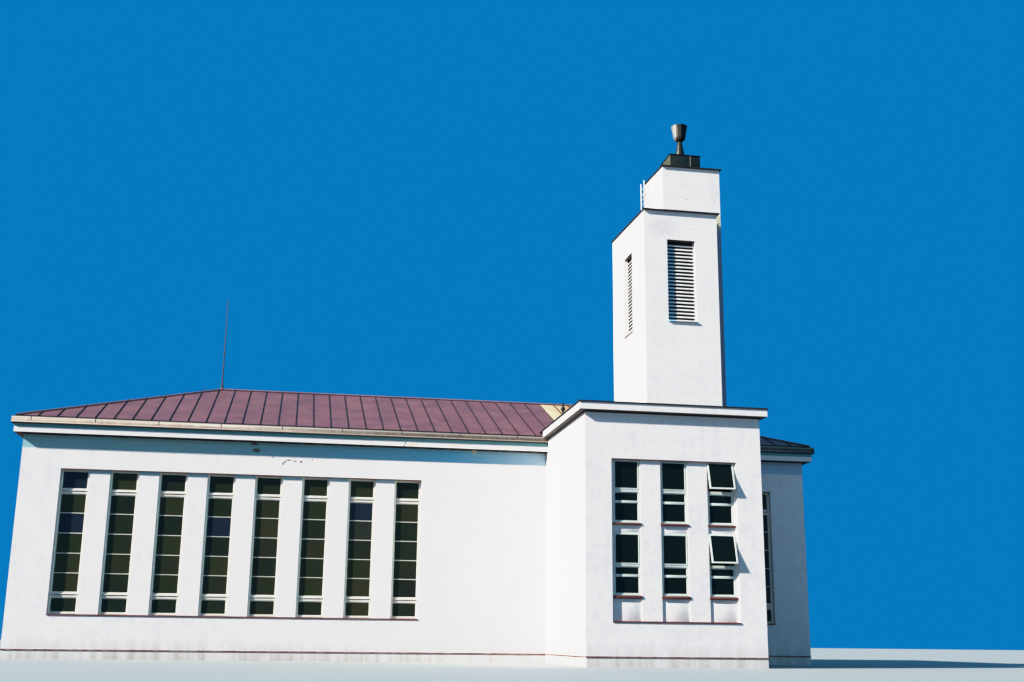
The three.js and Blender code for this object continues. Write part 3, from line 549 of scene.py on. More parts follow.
# a dark line at the cornice's foot: a real joint, and painted shade of the cornice's underside
broken = coat.remap(coat.streaks, 0.0, 0.6, 0.6, 1.0)
coat.strip(z, 9.865, 9.925, 0.008, JOINT_AND_SOFFIT_SHADE, hall, broken)


# %% White render: marks placed one by one
def marked(marks, ragged, size):
    mask = 0.0
    for middle, half in marks:
        one = coat.use(SPOT, coat.place, middle, half, ragged, size)[0]
        mask = coat.maths("MAXIMUM", mask, one)
    return mask


coat.over(coat.times(marked(GREY_MARKS, 0.9, 0.09), coat.grain, 0.45), STAIN_GREY)
coat.over(coat.times(marked(DAMP_MARKS, 0.5, 0.2), 0.55), DAMP_YELLOW)
peeled = marked(PEELED_MARKS, 0.4, 0.06)
coat.over(peeled, PEELED)
height = coat.maths("ADD", coat.grain, coat.times(coat.patches, 3.0))
coat.bump(coat.maths("SUBTRACT", height, coat.times(peeled, 8.0)), 0.0015)
coat.feed(coat.shader["Roughness"], coat.remap(coat.grain, 0, 1, 0.78, 0.95))
RENDER = coat.done()

# %% [markdown]
# ### Painted sheet
# Roof, gutter and dark roof edges are all painted sheet metal. One recipe serves them: a paint
# colour, a faded colour in patches, dirt in streaks, and the gentle waves that thin sheet always
# has. The waves matter most, because they break up the shine.


# %% The recipe, and the sheets that need no more than it
def painted_sheet(name, paint, faded, dirt_and_shade, metallic=0.0, rough=(0.4, 0.62), wave=0.004,
                  dirt_share=0.35, patch=1.1):
    sheet = Finish(name, Metallic=metallic)
    sheet.weathered(patch, 0.12, 0.004)
    sheet.colour = sheet.mix(sheet.patches, paint, faded)
    sheet.over(sheet.times(sheet.streaks, dirt_share), dirt_and_shade)
    sheet.feed(sheet.shader["Roughness"], sheet.remap(sheet.patches, 0, 1, *rough))
    waves = sheet.noise(sheet.place, 2.2, 1.0)
    sheet.bump(sheet.maths("ADD", waves, sheet.times(sheet.grain, 0.04)), wave)
    return sheet


RIDGE = painted_sheet(
    "ridge_sheet_paint", (0.26, 0.13, 0.15), (0.35, 0.2, 0.21), (0.16, 0.08, 0.09)).done()
# near-black: painted shade along each rib and below each ridge roll
SEAM_PAINTED_SHADE = painted_sheet(
    "seam_paint", (0.026, 0.008, 0.014), (0.05, 0.018, 0.026), (0.015, 0.007, 0.01),
    rough=(0.55, 0.75)).done()
SILL = painted_sheet(
    "sill_sheet_paint", (0.13, 0.035, 0.03), (0.22, 0.08, 0.06), (0.06, 0.03, 0.03)).done()
DARK = painted_sheet(
    "dark_sheet_paint", (0.006, 0.006, 0.008), (0.014, 0.013, 0.015), (0.03, 0.026, 0.024),
    dirt_share=0.2, rough=(0.55, 0.75)).done()
LADDER = painted_sheet(
    "ladder_paint", (0.72, 0.72, 0.71), (0.6, 0.6, 0.58), (0.25, 0.12, 0.06), patch=0.3).done()
RUST = painted_sheet(
    "rusty_steel", (0.1, 0.045, 0.03), (0.18, 0.09, 0.055), (0.04, 0.03, 0.028),
    metallic=0.3, rough=(0.6, 0.85), patch=0.25).done()

# %% The roof: mauve paint, some bays cream, and painted shadow along the eave's edge
CREAM_BAY, OCHRE_BAY = (0.74, 0.59, 0.4), (0.42, 0.27, 0.12)
coat = painted_sheet(
    "roof_sheet_paint", (0.15, 0.055, 0.068), (0.244, 0.113, 0.118), (0.094, 0.045, 0.053))
x, y, z = coat.axes()
weave = coat.noise(coat.place, 5.0, 5.0, 0.75)
coat.over(coat.remap(weave, 0.4, 0.65, 0.0, 0.5), (0.19, 0.08, 0.088))
bays = coat.mix(coat.remap(x, 6.5, 8.4), CREAM_BAY, OCHRE_BAY)
bays = coat.mix(coat.times(coat.patches, 0.5), bays, OCHRE_BAY)
coat.strip(x, 6.5, 14.7, 0.01, bays, coat.band(y, -4.0, 3.9, 0.01))
# painted shadow: a near-black band along the roof's lowest edge, above the gutter
coat.strip(z, 10.0, 10.695, 0.006, (0.03, 0.016, 0.02))
ROOF = coat.done()

# %% The gutter, in bands: a dirty middle, painted highlights on the fold and the bead, painted shade at the rim and foot
coat = painted_sheet(
    "gutter_paint", (0.155, 0.128, 0.102), (0.215, 0.186, 0.155), (0.08, 0.057, 0.044))
z = coat.axes()["Z"]
runs = coat.remap(coat.streaks, 0.1, 0.9, 0.35, 1.0)
coat.strip(z, 10.385, 10.49, 0.03, (0.085, 0.057, 0.04), runs)
# painted highlight: the lower fold is paler, as if in the sun
fold_highlight = coat.mix(coat.patches, (0.42, 0.37, 0.32), (0.31, 0.25, 0.2))
coat.strip(z, 10.348, 10.392, 0.006, fold_highlight)
# painted highlight on the bead, painted shade at the rim under the roof's edge, and near-black
# painted shade on the foot
for low, high, soft, colour in (
    (10.545, 10.59, 0.006, (0.4, 0.36, 0.31)), (10.595, 10.7, 0.004, (0.04, 0.032, 0.03)),
    (10.0, 10.344, 0.003, (0.012, 0.011, 0.011)),
):
    coat.strip(z, low, high, soft, colour)
GUTTER = coat.done()

# %% Copper: a pale left side as painted sunlight, one bright seam, a washed foot and a dark lid
coat = painted_sheet(
    "copper_patina", (0.004, 0.016, 0.015), (0.018, 0.043, 0.038), (0.035, 0.038, 0.03),
    metallic=0.35, rough=(0.4, 0.65), patch=0.3)
x, y, z = coat.axes()
coat.over(coat.times(coat.grain, coat.streaks), (0.02, 0.014, 0.013))
# painted light: the left face is paler and streaky, as if in full sun
pale_sunlit_side = coat.mix(coat.streaks, (0.105, 0.115, 0.06), (0.16, 0.145, 0.1))
coat.strip(x, 10.0, 10.85, 0.01, pale_sunlit_side)
coat.strip(x, 11.859, 11.881, 0.004, (0.42, 0.38, 0.34), coat.band(y, -7.4, -7.25, 0.005))
coat.strip(z, 23.0, 23.53, 0.01, (0.2, 0.24, 0.15), coat.remap(coat.streaks, 0.35, 0.6))
coat.strip(z, 24.325, 24.5, 0.004, (0.006, 0.008, 0.008))
COPPER = coat.done()

# %% Bronze: a dark stem; painted light on the cup's left side, painted shade on the right of cup and stem
# a fixed direction across the chalice, from its painted light to its painted shade
LIGHT_TO_SHADE_AXIS = (0.957, -0.29, 0.0)
coat = painted_sheet(
    "aged_bronze", (0.04, 0.035, 0.031), (0.085, 0.078, 0.062), (0.02, 0.022, 0.018),
    metallic=0.3, rough=(0.42, 0.6), wave=0.002, patch=0.25)
cup = coat.band(coat.axes()["Z"], 25.4, 26.5, 0.05)
coat.colour = coat.mix(cup, (0.014, 0.018, 0.011), coat.colour)
toward_painted_shade = coat.node(
    "VectorMath", {0: coat.place, 1: LIGHT_TO_SHADE_AXIS}, operation="DOT_PRODUCT")["Value"]
# painted light: the cup's left side is pale
coat.over(coat.times(cup, coat.remap(toward_painted_shade, 12.84, 12.78)), (0.36, 0.345, 0.32))
# painted shade: the right side of cup and stem is near-black
coat.over(coat.remap(toward_painted_shade, 13.03, 13.08), (0.002, 0.003, 0.004))
BRONZE = coat.done()

# %% [markdown]
# ### Old oil paint on timber
# Frames, casements and louvre slats are painted timber. Brush marks run along the wood, the paint
# yellows in patches, and small flakes are missing where the darker wood shows. As painted light,
# the frames are yellow at their heads and pale on the left stiles that the piers shade; as painted
# shade, the louvre slats are blue where a jamb shades them, and the left louvre is near-black at
# its stiles.


# %% Oil paint on timber
def oil_paint(name, paint, yellowed, bare_wood, flakes=0.5):
    timber = Finish(name)
    timber.weathered(0.5, 0.03, 0.02)
    timber.colour = timber.mix(timber.patches, paint, yellowed)
    flaked = timber.times(timber.grain, timber.patches)
    flaked = timber.remap(flaked, 1.0 - 0.2 * flakes, 1.0)
    timber.over(flaked, bare_wood)
    timber.feed(timber.shader["Roughness"], timber.remap(timber.streaks, 0, 1, 0.42, 0.62))
    timber.bump(timber.maths("SUBTRACT", timber.streaks, flaked), 0.0006)
    return timber


BLOCK_FRAME = oil_paint(
    "block_frame_paint", (0.7, 0.74, 0.68), (0.58, 0.62, 0.54), (0.16, 0.12, 0.08)).done()

coat = oil_paint(
    "window_frame_paint", (0.77, 0.74, 0.67), (0.66, 0.59, 0.48), (0.16, 0.09, 0.06))
x, y, z = coat.axes()
# painted light: the heads, in the shade of the recess head, are painted warm yellow
coat.strip(z, 8.33, 8.6, 0.01, (0.62, 0.55, 0.26))
# the hall's corner is at x = -18.70; ten pitches more keep the sum above zero
# painted light: the left stiles of the windows left of x = 0, which the piers shade, are painted
# pale
along = coat.maths("MODULO", coat.maths("ADD", x, 18.7 + 10 * PITCH - WINDOW_LEFT), PITCH)
left_row = coat.band(x, -20.0, 0.0, 0.01)
coat.strip(along, -0.01, 0.085, 0.01, (0.93, 0.96, 0.8), left_row)
FRAME = coat.done()

coat = oil_paint(
    "louvre_paint", (0.8, 0.78, 0.75), (0.68, 0.65, 0.61), (0.25, 0.2, 0.16), flakes=0.3)
x = coat.axes()["X"]
# painted shade: blue on the slats at the front louvre's left end, where the jamb shades them
coat.strip(x, 9.9, 10.36, 0.02, (0.42, 0.74, 0.88))
# painted shade: near-black on the left louvre's stiles and the backs of its slats
coat.strip(x, 9.118, 9.3, 0.004, (0.02, 0.02, 0.02))
LOUVRE = coat.done()

# %% Oiled planks and bare concrete
coat = Finish("door_planks", Roughness=0.5)
coat.weathered(0.4, 0.02, 0.006)
coat.colour = coat.mix(coat.streaks, (0.1, 0.045, 0.025), (0.2, 0.1, 0.05))
coat.over(coat.times(coat.patches, 0.4), (0.06, 0.03, 0.02))
coat.bump(coat.streaks, 0.001)
DOOR = coat.done()

coat = Finish("bare_concrete", Roughness=0.9)
coat.weathered(0.9, 0.2, 0.008)
coat.colour = coat.mix(coat.patches, (0.3, 0.29, 0.27), (0.42, 0.4, 0.36))
coat.bump(coat.grain, 0.002)
CONCRETE = coat.done()

# %% [markdown]
# ### Window glass
# By day a window is dark because the room behind it is. The glass itself is clear, so it lets some
# light through and mirrors the sky. Old drawn glass is slightly wavy, which bends the mirror image.
# Every pane also gets its own tone, from green to brown; one in ten is navy, a painted reflection
# of the sky, and the block's front panes are darker, as painted shade.

# %% Window glass
coat = Finish("window_glass", Metallic=0.0, Roughness=0.04, Transmission_Weight=0.3, IOR=1.36)
coat.weathered(1.3, 0.2, 0.35)
each_pane = coat.node("NewGeometry")["Random Per Island"]
coat.colour = coat.mix(each_pane, (0.016, 0.02, 0.018), (0.07, 0.062, 0.026))
coat.over(coat.times(coat.patches, 0.6), (0.03, 0.054, 0.012))
# painted reflection: one pane in ten is navy, as if mirroring the sky
coat.over(coat.remap(each_pane, 0.9, 0.92), (0.022, 0.034, 0.055))
# painted shade: the block's front panes are darker
coat.strip(coat.axes()["Y"], -12.0, -11.05, 0.02, (0.006, 0.011, 0.008))
coat.bump(coat.grain, 0.0012)
GLASS = coat.done()

# %% [markdown]
# ## Dress the plain solids that keep their shape
# Walls, slabs, floors and roof slopes are right as they are. Each gets its finish by filling its
# material slots, which leaves its mesh untouched.

# %% Finishes for the kept solids
SIDES = ("front", "back", "left", "right")
KEPT = {
    RENDER: [f"{part}_{side}_wall" for part in ("nave", "tower") for side in SIDES] + [
        "block_front_wall", "block_left_wall", "block_right_wall", "block_roof_slab",
        "nave_cornice", "tower_slab", "tower_shaft",
    ],
    CONCRETE: ["nave_floor", "block_lower_floor", "block_upper_floor"],
    ROOF: ["nave_roof_front", "nave_roof_back", "nave_roof_left_end", "nave_roof_right_end"],
    # near-black also on the louvre backings: sheets that stand in as painted shade for the dark
    # chamber behind the slats
    DARK: [f"{part}_roof_sheet" for part in ("block", "tower", "shaft")] + [
        f"{side}_louvre_backing" for side in ("front", "left", "back")
    ],
}
for material, names in KEPT.items():
    for name in names:
        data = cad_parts[name].data
        data.materials.clear()
        data.materials.append(material)
    print(material.name, "on", len(names), "solids")


def fit(piece, material, *nodes):
    """Give a finished piece its material, move it into the frame and tie it to the building."""
    settle(piece, CORNER)
    piece.data.materials.clear()
    piece.data.materials.append(material)
    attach(piece, "root")
    if nodes:
        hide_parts(*nodes)
    print(piece.name, len(piece.data.polygons), "faces")
    return piece


# %% [markdown]
# ## The hall's tall windows
# Each window is a narrow upright strip of seven lights: a short one above and below, behind double
# transoms, and five between them with thin bars. One window is modelled, at the first place on the
# left. The rows are copies of it, one every 2.16 m.

# %% Measures of a tall window
BAND_LOW, BAND_HIGH = 1.88, 8.37
FRAME_FRONT, FRAME_DEPTH, FRAME_BAR = 0.2, 0.08, 0.07
SASH_BAR, GROOVE = 0.035, 0.03
THIN_BARS = (3.73, 4.6, 5.49, 6.39)
LOW_TRANSOM, HIGH_TRANSOM = (2.66, 2.88), (7.26, 7.47)
LIGHT_LEFT = WINDOW_LEFT + FRAME_BAR
LIGHT_RIGHT = WINDOW_LEFT + WINDOW_WIDTH - FRAME_BAR
GLASS_FOOT, GLASS_HEAD = 2.01, 8.29


# %% One tall window: frame and transom bars
def light(low, high):
    return (LIGHT_LEFT, LIGHT_RIGHT, low, high)


def groove(transom):
    middle = sum(transom) / 2
    return light(middle - GROOVE / 2, middle + GROOVE / 2)


three_lights = (
    (GLASS_FOOT, LOW_TRANSOM[0]), (LOW_TRANSOM[1], HIGH_TRANSOM[0]), (HIGH_TRANSOM[1], GLASS_HEAD),
)
grooves = [groove(LOW_TRANSOM), groove(HIGH_TRANSOM)]
outer_frame = lattice(
    "outer_frame",
    (WINDOW_LEFT, WINDOW_LEFT + WINDOW_WIDTH, BAND_LOW + 0.06, BAND_HIGH), FRAME_FRONT, FRAME_DEPTH,
    [light(*heights) for heights in three_lights] + grooves, 0.006)
rebate = bars("rebate", [
    ((LIGHT_LEFT - 0.01, FRAME_FRONT + 0.065, low + 0.02),
     (LIGHT_RIGHT + 0.01, FRAME_FRONT + FRAME_DEPTH, high - 0.02))
    for low, high in (LOW_TRANSOM, HIGH_TRANSOM)
])
bar_foot, high_foot = (hole[3] + 0.004 for hole in grooves)
low_bar = bar("low_bar", (LIGHT_LEFT - 0.015, FRAME_FRONT - 0.03, bar_foot),
              (LIGHT_RIGHT + 0.015, FRAME_FRONT + 0.01, bar_foot + 0.035))
squeeze(low_bar, lambda centre: centre.y < FRAME_FRONT - 0.02, (1, 1, 0.5))
soften(low_bar, 0.004)
high_bar = twin(low_bar, "high_bar", (0, 0, high_foot - bar_foot))

# %% One tall window: sashes and panes
seams = [LOW_TRANSOM[1], *THIN_BARS, HIGH_TRANSOM[0]]
sash_lights = [
    (LIGHT_LEFT + SASH_BAR, LIGHT_RIGHT - SASH_BAR,
     low + SASH_BAR / (1 if low == seams[0] else 2),
     high - SASH_BAR / (1 if high == seams[-1] else 2))
    for low, high in zip(seams, seams[1:])
]
sash_lights += [within(light(*three_lights[end]), SASH_BAR) for end in (0, 2)]
sashes = lattice(
    "sashes", (LIGHT_LEFT - 0.01, LIGHT_RIGHT + 0.01, GLASS_FOOT - 0.01, GLASS_HEAD + 0.01),
    FRAME_FRONT + 0.02, 0.035, sash_lights + grooves, 0.004)
one_window = joined("one_window", [outer_frame, rebate, low_bar, high_bar, sashes])
one_glazing = panes("one_glazing", sash_lights, FRAME_FRONT + 0.035)
print("one window:", len(one_window.data.polygons), "faces;", len(sash_lights), "panes")

# %% Three rows of windows: where each starts, and how many there are
BACK_COUNT = 12
ROWS = {
    "left": (WINDOW_LEFT, 8),
    "right": (32.215, 2),
    "back": ((HALL_LENGTH - (BACK_COUNT - 1) * PITCH - WINDOW_WIDTH) / 2, BACK_COUNT),
}


def placed(piece, side):
    """The back row is made in front, then takes half a turn about the hall's middle."""
    return settle(piece, (HALL_LENGTH, HALL_DEPTH, 0), pi) if side == "back" else piece


def window_row(source, name, side):
    start, count = ROWS[side]
    piece = twin(source, name, (start - WINDOW_LEFT, 0, 0))
    return placed(row(piece, count, (PITCH, 0, 0)), side)


for side, solid in (("left", "front_left"), ("right", "front_right"), ("back", "back")):
    fit(window_row(one_window, f"nave_{side}_window_frames", side), FRAME, f"nave_{solid}_windows")
front_glazing = [window_row(one_glazing, "panes", side) for side in ("left", "right")]
fit(joined("nave_front_panes", front_glazing), GLASS, "nave_front_glass")
fit(window_row(one_glazing, "nave_back_panes", "back"), GLASS, "nave_back_glass")
discard(one_window, one_glazing)

# %% [markdown]
# A strip of brown-red sheet runs below each row as one long sill. It is folded: sloping out across
# the wall, down in front, and back under itself so that water drips off. A tongue reaches back
# under each frame, and a thin sheet covers the wall's edge above the row.

# %% Folded sills below the rows
SILL_OUTLINE = (
    (0.098, 1.937), (-0.034, 1.925), (-0.038, 1.92), (-0.038, 1.892), (-0.03, 1.884),
)
for side, (start, count) in ROWS.items():
    end = start + (count - 1) * PITCH + WINDOW_WIDTH
    core = bar("core", (start + 0.003, -0.03, 1.883), (end - 0.003, 0.097, 1.92))
    strip = folded("strip", SILL_OUTLINE, start + 0.002, end - 0.002)
    head = bar("head", (start + 0.002, -0.004, BAND_HIGH - 0.026),
               (end - 0.002, 0.097, BAND_HIGH - 0.001))
    tongue = bar("tongues", (start + 0.002, 0.09, 1.885),
                 (start + WINDOW_WIDTH - 0.002, 0.27, 1.941), 0.003)
    row(tongue, count, (PITCH, 0, 0))
    piece = joined(f"nave_{side}_sill", [strip, core, tongue, soften(head, 0.004)])
    fit(placed(piece, side), SILL)

# %% [markdown]
# ## Standing seams
# The roof sheet is laid in strips, folded together in upright seams about 50 mm high, one every
# 0.82 m. One rib is repeated along the whole slope, and the hips then cut it to length, as the
# roofer trims the strips too.

# %% Ribs on the four slopes
EAVE_Z, EAVE_REACH, ROOF_RISE = 10.62, 0.5, 3.117
SIDE_RUN, END_RUN = 7.7, 8.63
RIB_START = 0.14
SEAM_STEP, SEAM_HEIGHT, SEAM_WIDTH = 0.82, 0.048, 0.03
HIP_GAP = 0.12
SIDE_LENGTH, END_LENGTH = HALL_LENGTH + 2 * EAVE_REACH, HALL_DEPTH + 2 * EAVE_REACH


def ribs(name, run, hip, eave_length, first, count):
    """Ribs up a slope whose eave starts at the origin and runs along x."""
    length = hypot(run, ROOF_RISE)
    slope = atan2(ROOF_RISE, run)
    start = RIB_START / cos(slope)
    rib = bar(name, (-SEAM_WIDTH / 2, start, -0.004), (SEAM_WIDTH / 2, length, SEAM_HEIGHT))
    squeeze(rib, lambda centre: centre.z > SEAM_HEIGHT * 0.9, (0.55, 1, 1))
    settle(soften(rib, 0.004), (first, 0, 0), tilt=slope)
    row(rib, count, (SEAM_STEP, 0, 0))
    trim(rib, (HIP_GAP, 0, 0), (-run, hip, 0))
    return trim(rib, (eave_length - HIP_GAP, 0, 0), (run, hip, 0))


SIDE = (SIDE_RUN, END_RUN, SIDE_LENGTH, 8.0 - 9 * SEAM_STEP + EAVE_REACH, 46)
END = (END_RUN, SIDE_RUN, END_LENGTH, (END_LENGTH - 18 * SEAM_STEP) / 2, 19)
NEAR, RIGHT_EAVE, BACK_EAVE = -EAVE_REACH, HALL_LENGTH + EAVE_REACH, HALL_DEPTH + EAVE_REACH
for side, slope, x, y, turn in (
    ("front", SIDE, NEAR, NEAR, 0), ("back", SIDE, RIGHT_EAVE, BACK_EAVE, pi),
    ("left", END, NEAR, BACK_EAVE, -pi / 2), ("right", END, RIGHT_EAVE, NEAR, pi / 2),
):
    slope_ribs = settle(ribs(f"nave_{side}_seams", *slope), (x, y, EAVE_Z), turn)
    if side == "front":
        trim(slope_ribs, (0, 0.14, 0), (0, -1, 0), lambda centre: 24.15 < centre.x < 32.05)
    # the ribs get near-black paint, as painted shade along each seam
    fit(slope_ribs, SEAM_PAINTED_SHADE)

# %% [markdown]
# ## Ridge and hips
# Where two slopes meet, a folded cap covers the joint: a light half-round roll, and on each side a
# near-black wing that lies on the slope, painted shade below the roll. Rolls and wings are separate
# strips, because their paint differs. They are folded once along x, then turned onto the ridge and
# each hip.

# %% Caps on ridge and hips
CAP_HALF, CAP_ROLL, ROLL_LIFT = 0.16, 0.045, 0.018
LEFT_APEX, RIGHT_APEX = NEAR + END_RUN, RIGHT_EAVE - END_RUN
RIDGE_Y, RIDGE_Z = HALL_DEPTH / 2, EAVE_Z + ROOF_RISE
ROLL_OUTLINE = [
    (CAP_ROLL * cos(angle), ROLL_LIFT + CAP_ROLL * sin(angle))
    for angle in (radians(180 - 30 * step) for step in range(7))
]


def capped(outline, start, end):
    """A strip with this outline, laid from one point to another."""
    start, end = Vector(start), Vector(end)
    along = end - start
    piece = folded("cap", outline, 0, along.length, 0.004)
    bpy.ops.object.shade_smooth_by_angle(angle=0.7)
    tilt = -asin(along.z / along.length)
    return settle(piece, start, atan2(along.y, along.x), lean=tilt)


ridge_parts, wings = [], []


def cap(start, end, drop):
    ridge_parts.append(capped(ROLL_OUTLINE, start, end))
    for side in (-1, 1):
        outline = [(side * CAP_HALF, 0.006 - CAP_HALF * drop), (side * CAP_ROLL, ROLL_LIFT)]
        wings.append(capped(outline, start, end))


cap((LEFT_APEX, RIDGE_Y, RIDGE_Z), (RIGHT_APEX, RIDGE_Y, RIDGE_Z), 0.4)
for apex, corner_x in ((LEFT_APEX, NEAR), (RIGHT_APEX, RIGHT_EAVE)):
    top = Vector((apex, RIDGE_Y, RIDGE_Z))
    for corner_y in (NEAR, BACK_EAVE):
        cap(Vector((corner_x, corner_y, EAVE_Z)).lerp(top, 0.022), top, 0.26)
    ridge_parts.append(
        bar("knot", top - Vector((0.09, 0.09, 0.02)), top + Vector((0.09, 0.09, 0.08)), 0.03, 3))
fit(joined("ridge_caps", ridge_parts), RIDGE, "ridge_roll")
# the wings get near-black paint, as painted shade below the rolls
fit(joined("cap_wings", wings), SEAM_PAINTED_SHADE)

# %% Lightning rod on the left knot
ROD_FOOT = RIDGE_Z + 0.12
rod = joined("lightning_mast", [
    round_bar(name, (LEFT_APEX, RIDGE_Y, ROD_FOOT + foot), (LEFT_APEX, RIDGE_Y, ROD_FOOT + head),
              radius, 12, top_radius)
    for name, foot, head, radius, top_radius in (
        ("mast", 0, 4.9, 0.032, 0.014), ("shoe", -0.02, 0.28, 0.06, 0.042),
        ("collar", 1.9, 1.98, 0.042, None),
    )
])
fit(rod, RUST, "lightning_rod")

# %% [markdown]
# ## The box gutter
# A wide gutter of tan painted sheet lies on the cornice: an upright back, a flat bottom, a tall
# front and a round bead along the top that stiffens it. Runs are cut at 45 degrees where they meet.
# Straps cross it, and a dark lap shows at each joint, every 2.79 m.

# %% Gutter runs
GUTTER_FOOT, GUTTER_TOP, GUTTER_BACK, BEAD = 10.303, 10.62, 10.5, 0.016
FACE, FOLD = NEAR + 0.003, 10.44
GUTTER_OUTLINE = [
    (-0.262, GUTTER_BACK), (-0.262, GUTTER_FOOT), (NEAR + 0.012, GUTTER_FOOT),
    (FACE, GUTTER_FOOT + 0.01), (FACE, FOLD), (NEAR + 0.008, FOLD + 0.005),
    (NEAR + 0.008, GUTTER_TOP - 2.2 * BEAD),
    *((FACE + BEAD - BEAD * cos(angle), GUTTER_TOP - 0.003 - BEAD + BEAD * sin(angle))
      for angle in (radians(40 * step) for step in range(7))),
]
STRAP_STEP, JOINT_STEP = 0.93, 2.79


def gutter(name, x0, x1, mitred):
    """A run along a wall whose left corner is the origin; a mitre cuts it at the wall's corner."""
    run = folded(name, GUTTER_OUTLINE, x0, x1, 0.003)
    bpy.ops.object.shade_smooth_by_angle(angle=0.7)
    if mitred[0]:
        trim(run, (0, 0, 0), (-1, 1, 0))
    if mitred[1]:
        trim(run, (x1 - EAVE_REACH, 0, 0), (1, 1, 0))
    strap = bar("straps", (x0 + 0.62, NEAR + 0.01, GUTTER_TOP - 0.02),
                (x0 + 0.65, -0.24, GUTTER_TOP - 0.014), 0.002)
    row(strap, int((x1 - x0) / STRAP_STEP), (STRAP_STEP, 0, 0))
    return joined(name, [run, strap])


def gutter_joints(x0, x1, first):
    """Dark upright laps where two lengths of gutter meet."""
    lap = bar("laps", (x0 + first - 0.014, NEAR + 0.002, 10.375),
              (x0 + first + 0.014, NEAR + 0.012, GUTTER_TOP - 0.012), 0.003)
    return row(lap, 1 + int((x1 - x0 - first - 0.4) / JOINT_STEP), (JOINT_STEP, 0, 0))


BLOCK_LEFT_JOINT, BLOCK_RIGHT_JOINT = 24.199, 32.001
BOTH, HERE = (True, True), (0, 0, 0)
laps = []
for name, solid, x0, x1, mitred, first, place, turn in (
    ("left_of_block", "front_left", NEAR, BLOCK_LEFT_JOINT, (True, False), 0.84, HERE, 0),
    ("right_of_block", "front_right", BLOCK_RIGHT_JOINT, RIGHT_EAVE, (False, True), 1.6, HERE, 0),
    ("behind", "back", NEAR, RIGHT_EAVE, BOTH, 2.3, (HALL_LENGTH, HALL_DEPTH, 0), pi),
    ("at_left_end", "left", NEAR, BACK_EAVE, BOTH, 2.3, (0, HALL_DEPTH, 0), -pi / 2),
    ("at_right_end", "right", NEAR, BACK_EAVE, BOTH, 2.3, (HALL_LENGTH, 0, 0), pi / 2),
):
    fit(settle(gutter("gutter_" + name, x0, x1, mitred), place, turn), GUTTER, "gutter_" + solid)
    laps.append(settle(gutter_joints(x0, x1, first), place, turn))
fit(joined("gutter_laps", laps), DARK)

# %% [markdown]
# ## The block's window bays
# Each bay is a tall slot filled, from the ground up, with a sheet sill, a parapet panel, the lower
# window, a panel between the storeys and the upper window. A window has a fixed light below and a
# top-hung casement above. Both casements of the right-hand bay stand open.

# %% Measures of a bay
BAY_WIDTH, BAY_STEP, BLOCK_MIDDLE = 1.2, 2.08, 28.1
BAY_LEFT = BLOCK_MIDDLE - BAY_STEP - BAY_WIDTH / 2
BAY_RIGHT = BAY_LEFT + BAY_WIDTH
INFILL, INFILL_DEPTH, FIXED_BAR = -7.84, 0.11, 0.04
WINDOWS = ((2.87, 4.06, 4.17, 5.48), (5.86, 7.16, 7.29, 8.55))
CASEMENT_BAR, CASEMENT_DEPTH = 0.055, 0.05
OPEN_ANGLE = radians(15)


# %% One bay: frame, casements, panes, panels and sills
frames, casements, fixed_panes, casement_panes = [], [], [], []
for foot, transom_low, transom_high, head in WINDOWS:
    x0, x1 = BAY_LEFT + FRAME_BAR, BAY_RIGHT - FRAME_BAR
    lower = (x0, x1, foot + FRAME_BAR, transom_low)
    upper = (x0, x1, transom_high, head - FRAME_BAR)
    span = (BAY_LEFT + 0.001, BAY_RIGHT - 0.001, foot, head)
    frames.append(lattice("frame", span, INFILL, INFILL_DEPTH, [lower, upper], 0.006))
    frames.append(lattice(
        "border", within(lower, -0.004), INFILL + 0.03, 0.045, [within(lower, FIXED_BAR)], 0.004))
    rail = lower[2] + (lower[3] - lower[2]) * 0.62
    frames.append(
        bar("rail", (x0, INFILL + 0.012, rail), (x1, INFILL + 0.045, rail + 0.11), 0.006))
    outer = within(upper, -0.015)
    casements.append(lattice(
        "casement", outer, INFILL - 0.012, CASEMENT_DEPTH, [within(outer, CASEMENT_BAR)], 0.005))
    fixed_panes.append(panes("pane", [within(lower, FIXED_BAR)], INFILL + 0.05))
    casement_panes.append(panes("pane", [within(upper, FIXED_BAR)], INFILL + 0.012))
panel_parts = [
    lattice("panel", (BAY_LEFT + 0.001, BAY_RIGHT - 0.001, low, high), INFILL, INFILL_DEPTH, [])
    for low, high in ((1.84, 2.75), (5.48, 5.78))
]
sill_parts = [
    bar("nose", (BAY_LEFT - 0.03, -7.945, low), (BAY_RIGHT + 0.03, -7.835, high), 0.028, 4)
    for low, high in ((2.76, 2.872), (5.775, 5.862))
]
frame_bay, casement_bay = joined("frame_bay", frames), joined("casement_bay", casements)
panel_bay = soften(joined("panel_bay", panel_parts), 0.006)
sill_bay, fixed_bay = joined("sill_bay", sill_parts), joined("fixed_bay", fixed_panes)
hung_bay = joined("hung_bay", casement_panes)


# %% Repeat the bay, leave the open one apart
def right_side(piece):
    """Turn a piece from the block's front onto its right-hand side."""
    return settle(piece, (24.0, -32.1, 0), pi / 2)


def bay_row(name, count, *sources, first=0):
    """Copies of the sources in this many bays, in one piece."""
    copies = []
    for source in sources:
        copies.append(twin(source, name, (first * BAY_STEP, 0, 0)))
        if count > 1:
            row(copies[-1], count, (BAY_STEP, 0, 0))
    return joined(name, copies)


def block_sills(name):
    x0, x1 = BAY_LEFT - 0.078, BAY_RIGHT + 2 * BAY_STEP + 0.078
    strip = folded("strip", (
        (-7.842, 1.845), (-7.902, 1.842), (-8.036, 1.83), (-8.038, 1.825), (-8.038, 1.79),
        (-8.03, 1.784),
    ), x0, x1)
    core = bar("core", (x0 + 0.001, -8.03, 1.783), (x1 - 0.001, -7.903, 1.826))
    head = bar("head", (x0 + 0.001, -8.004, 8.524), (x1 - 0.001, -7.903, 8.549), 0.004)
    return joined(name, [bay_row("sills", 3, sill_bay), strip, core, head])


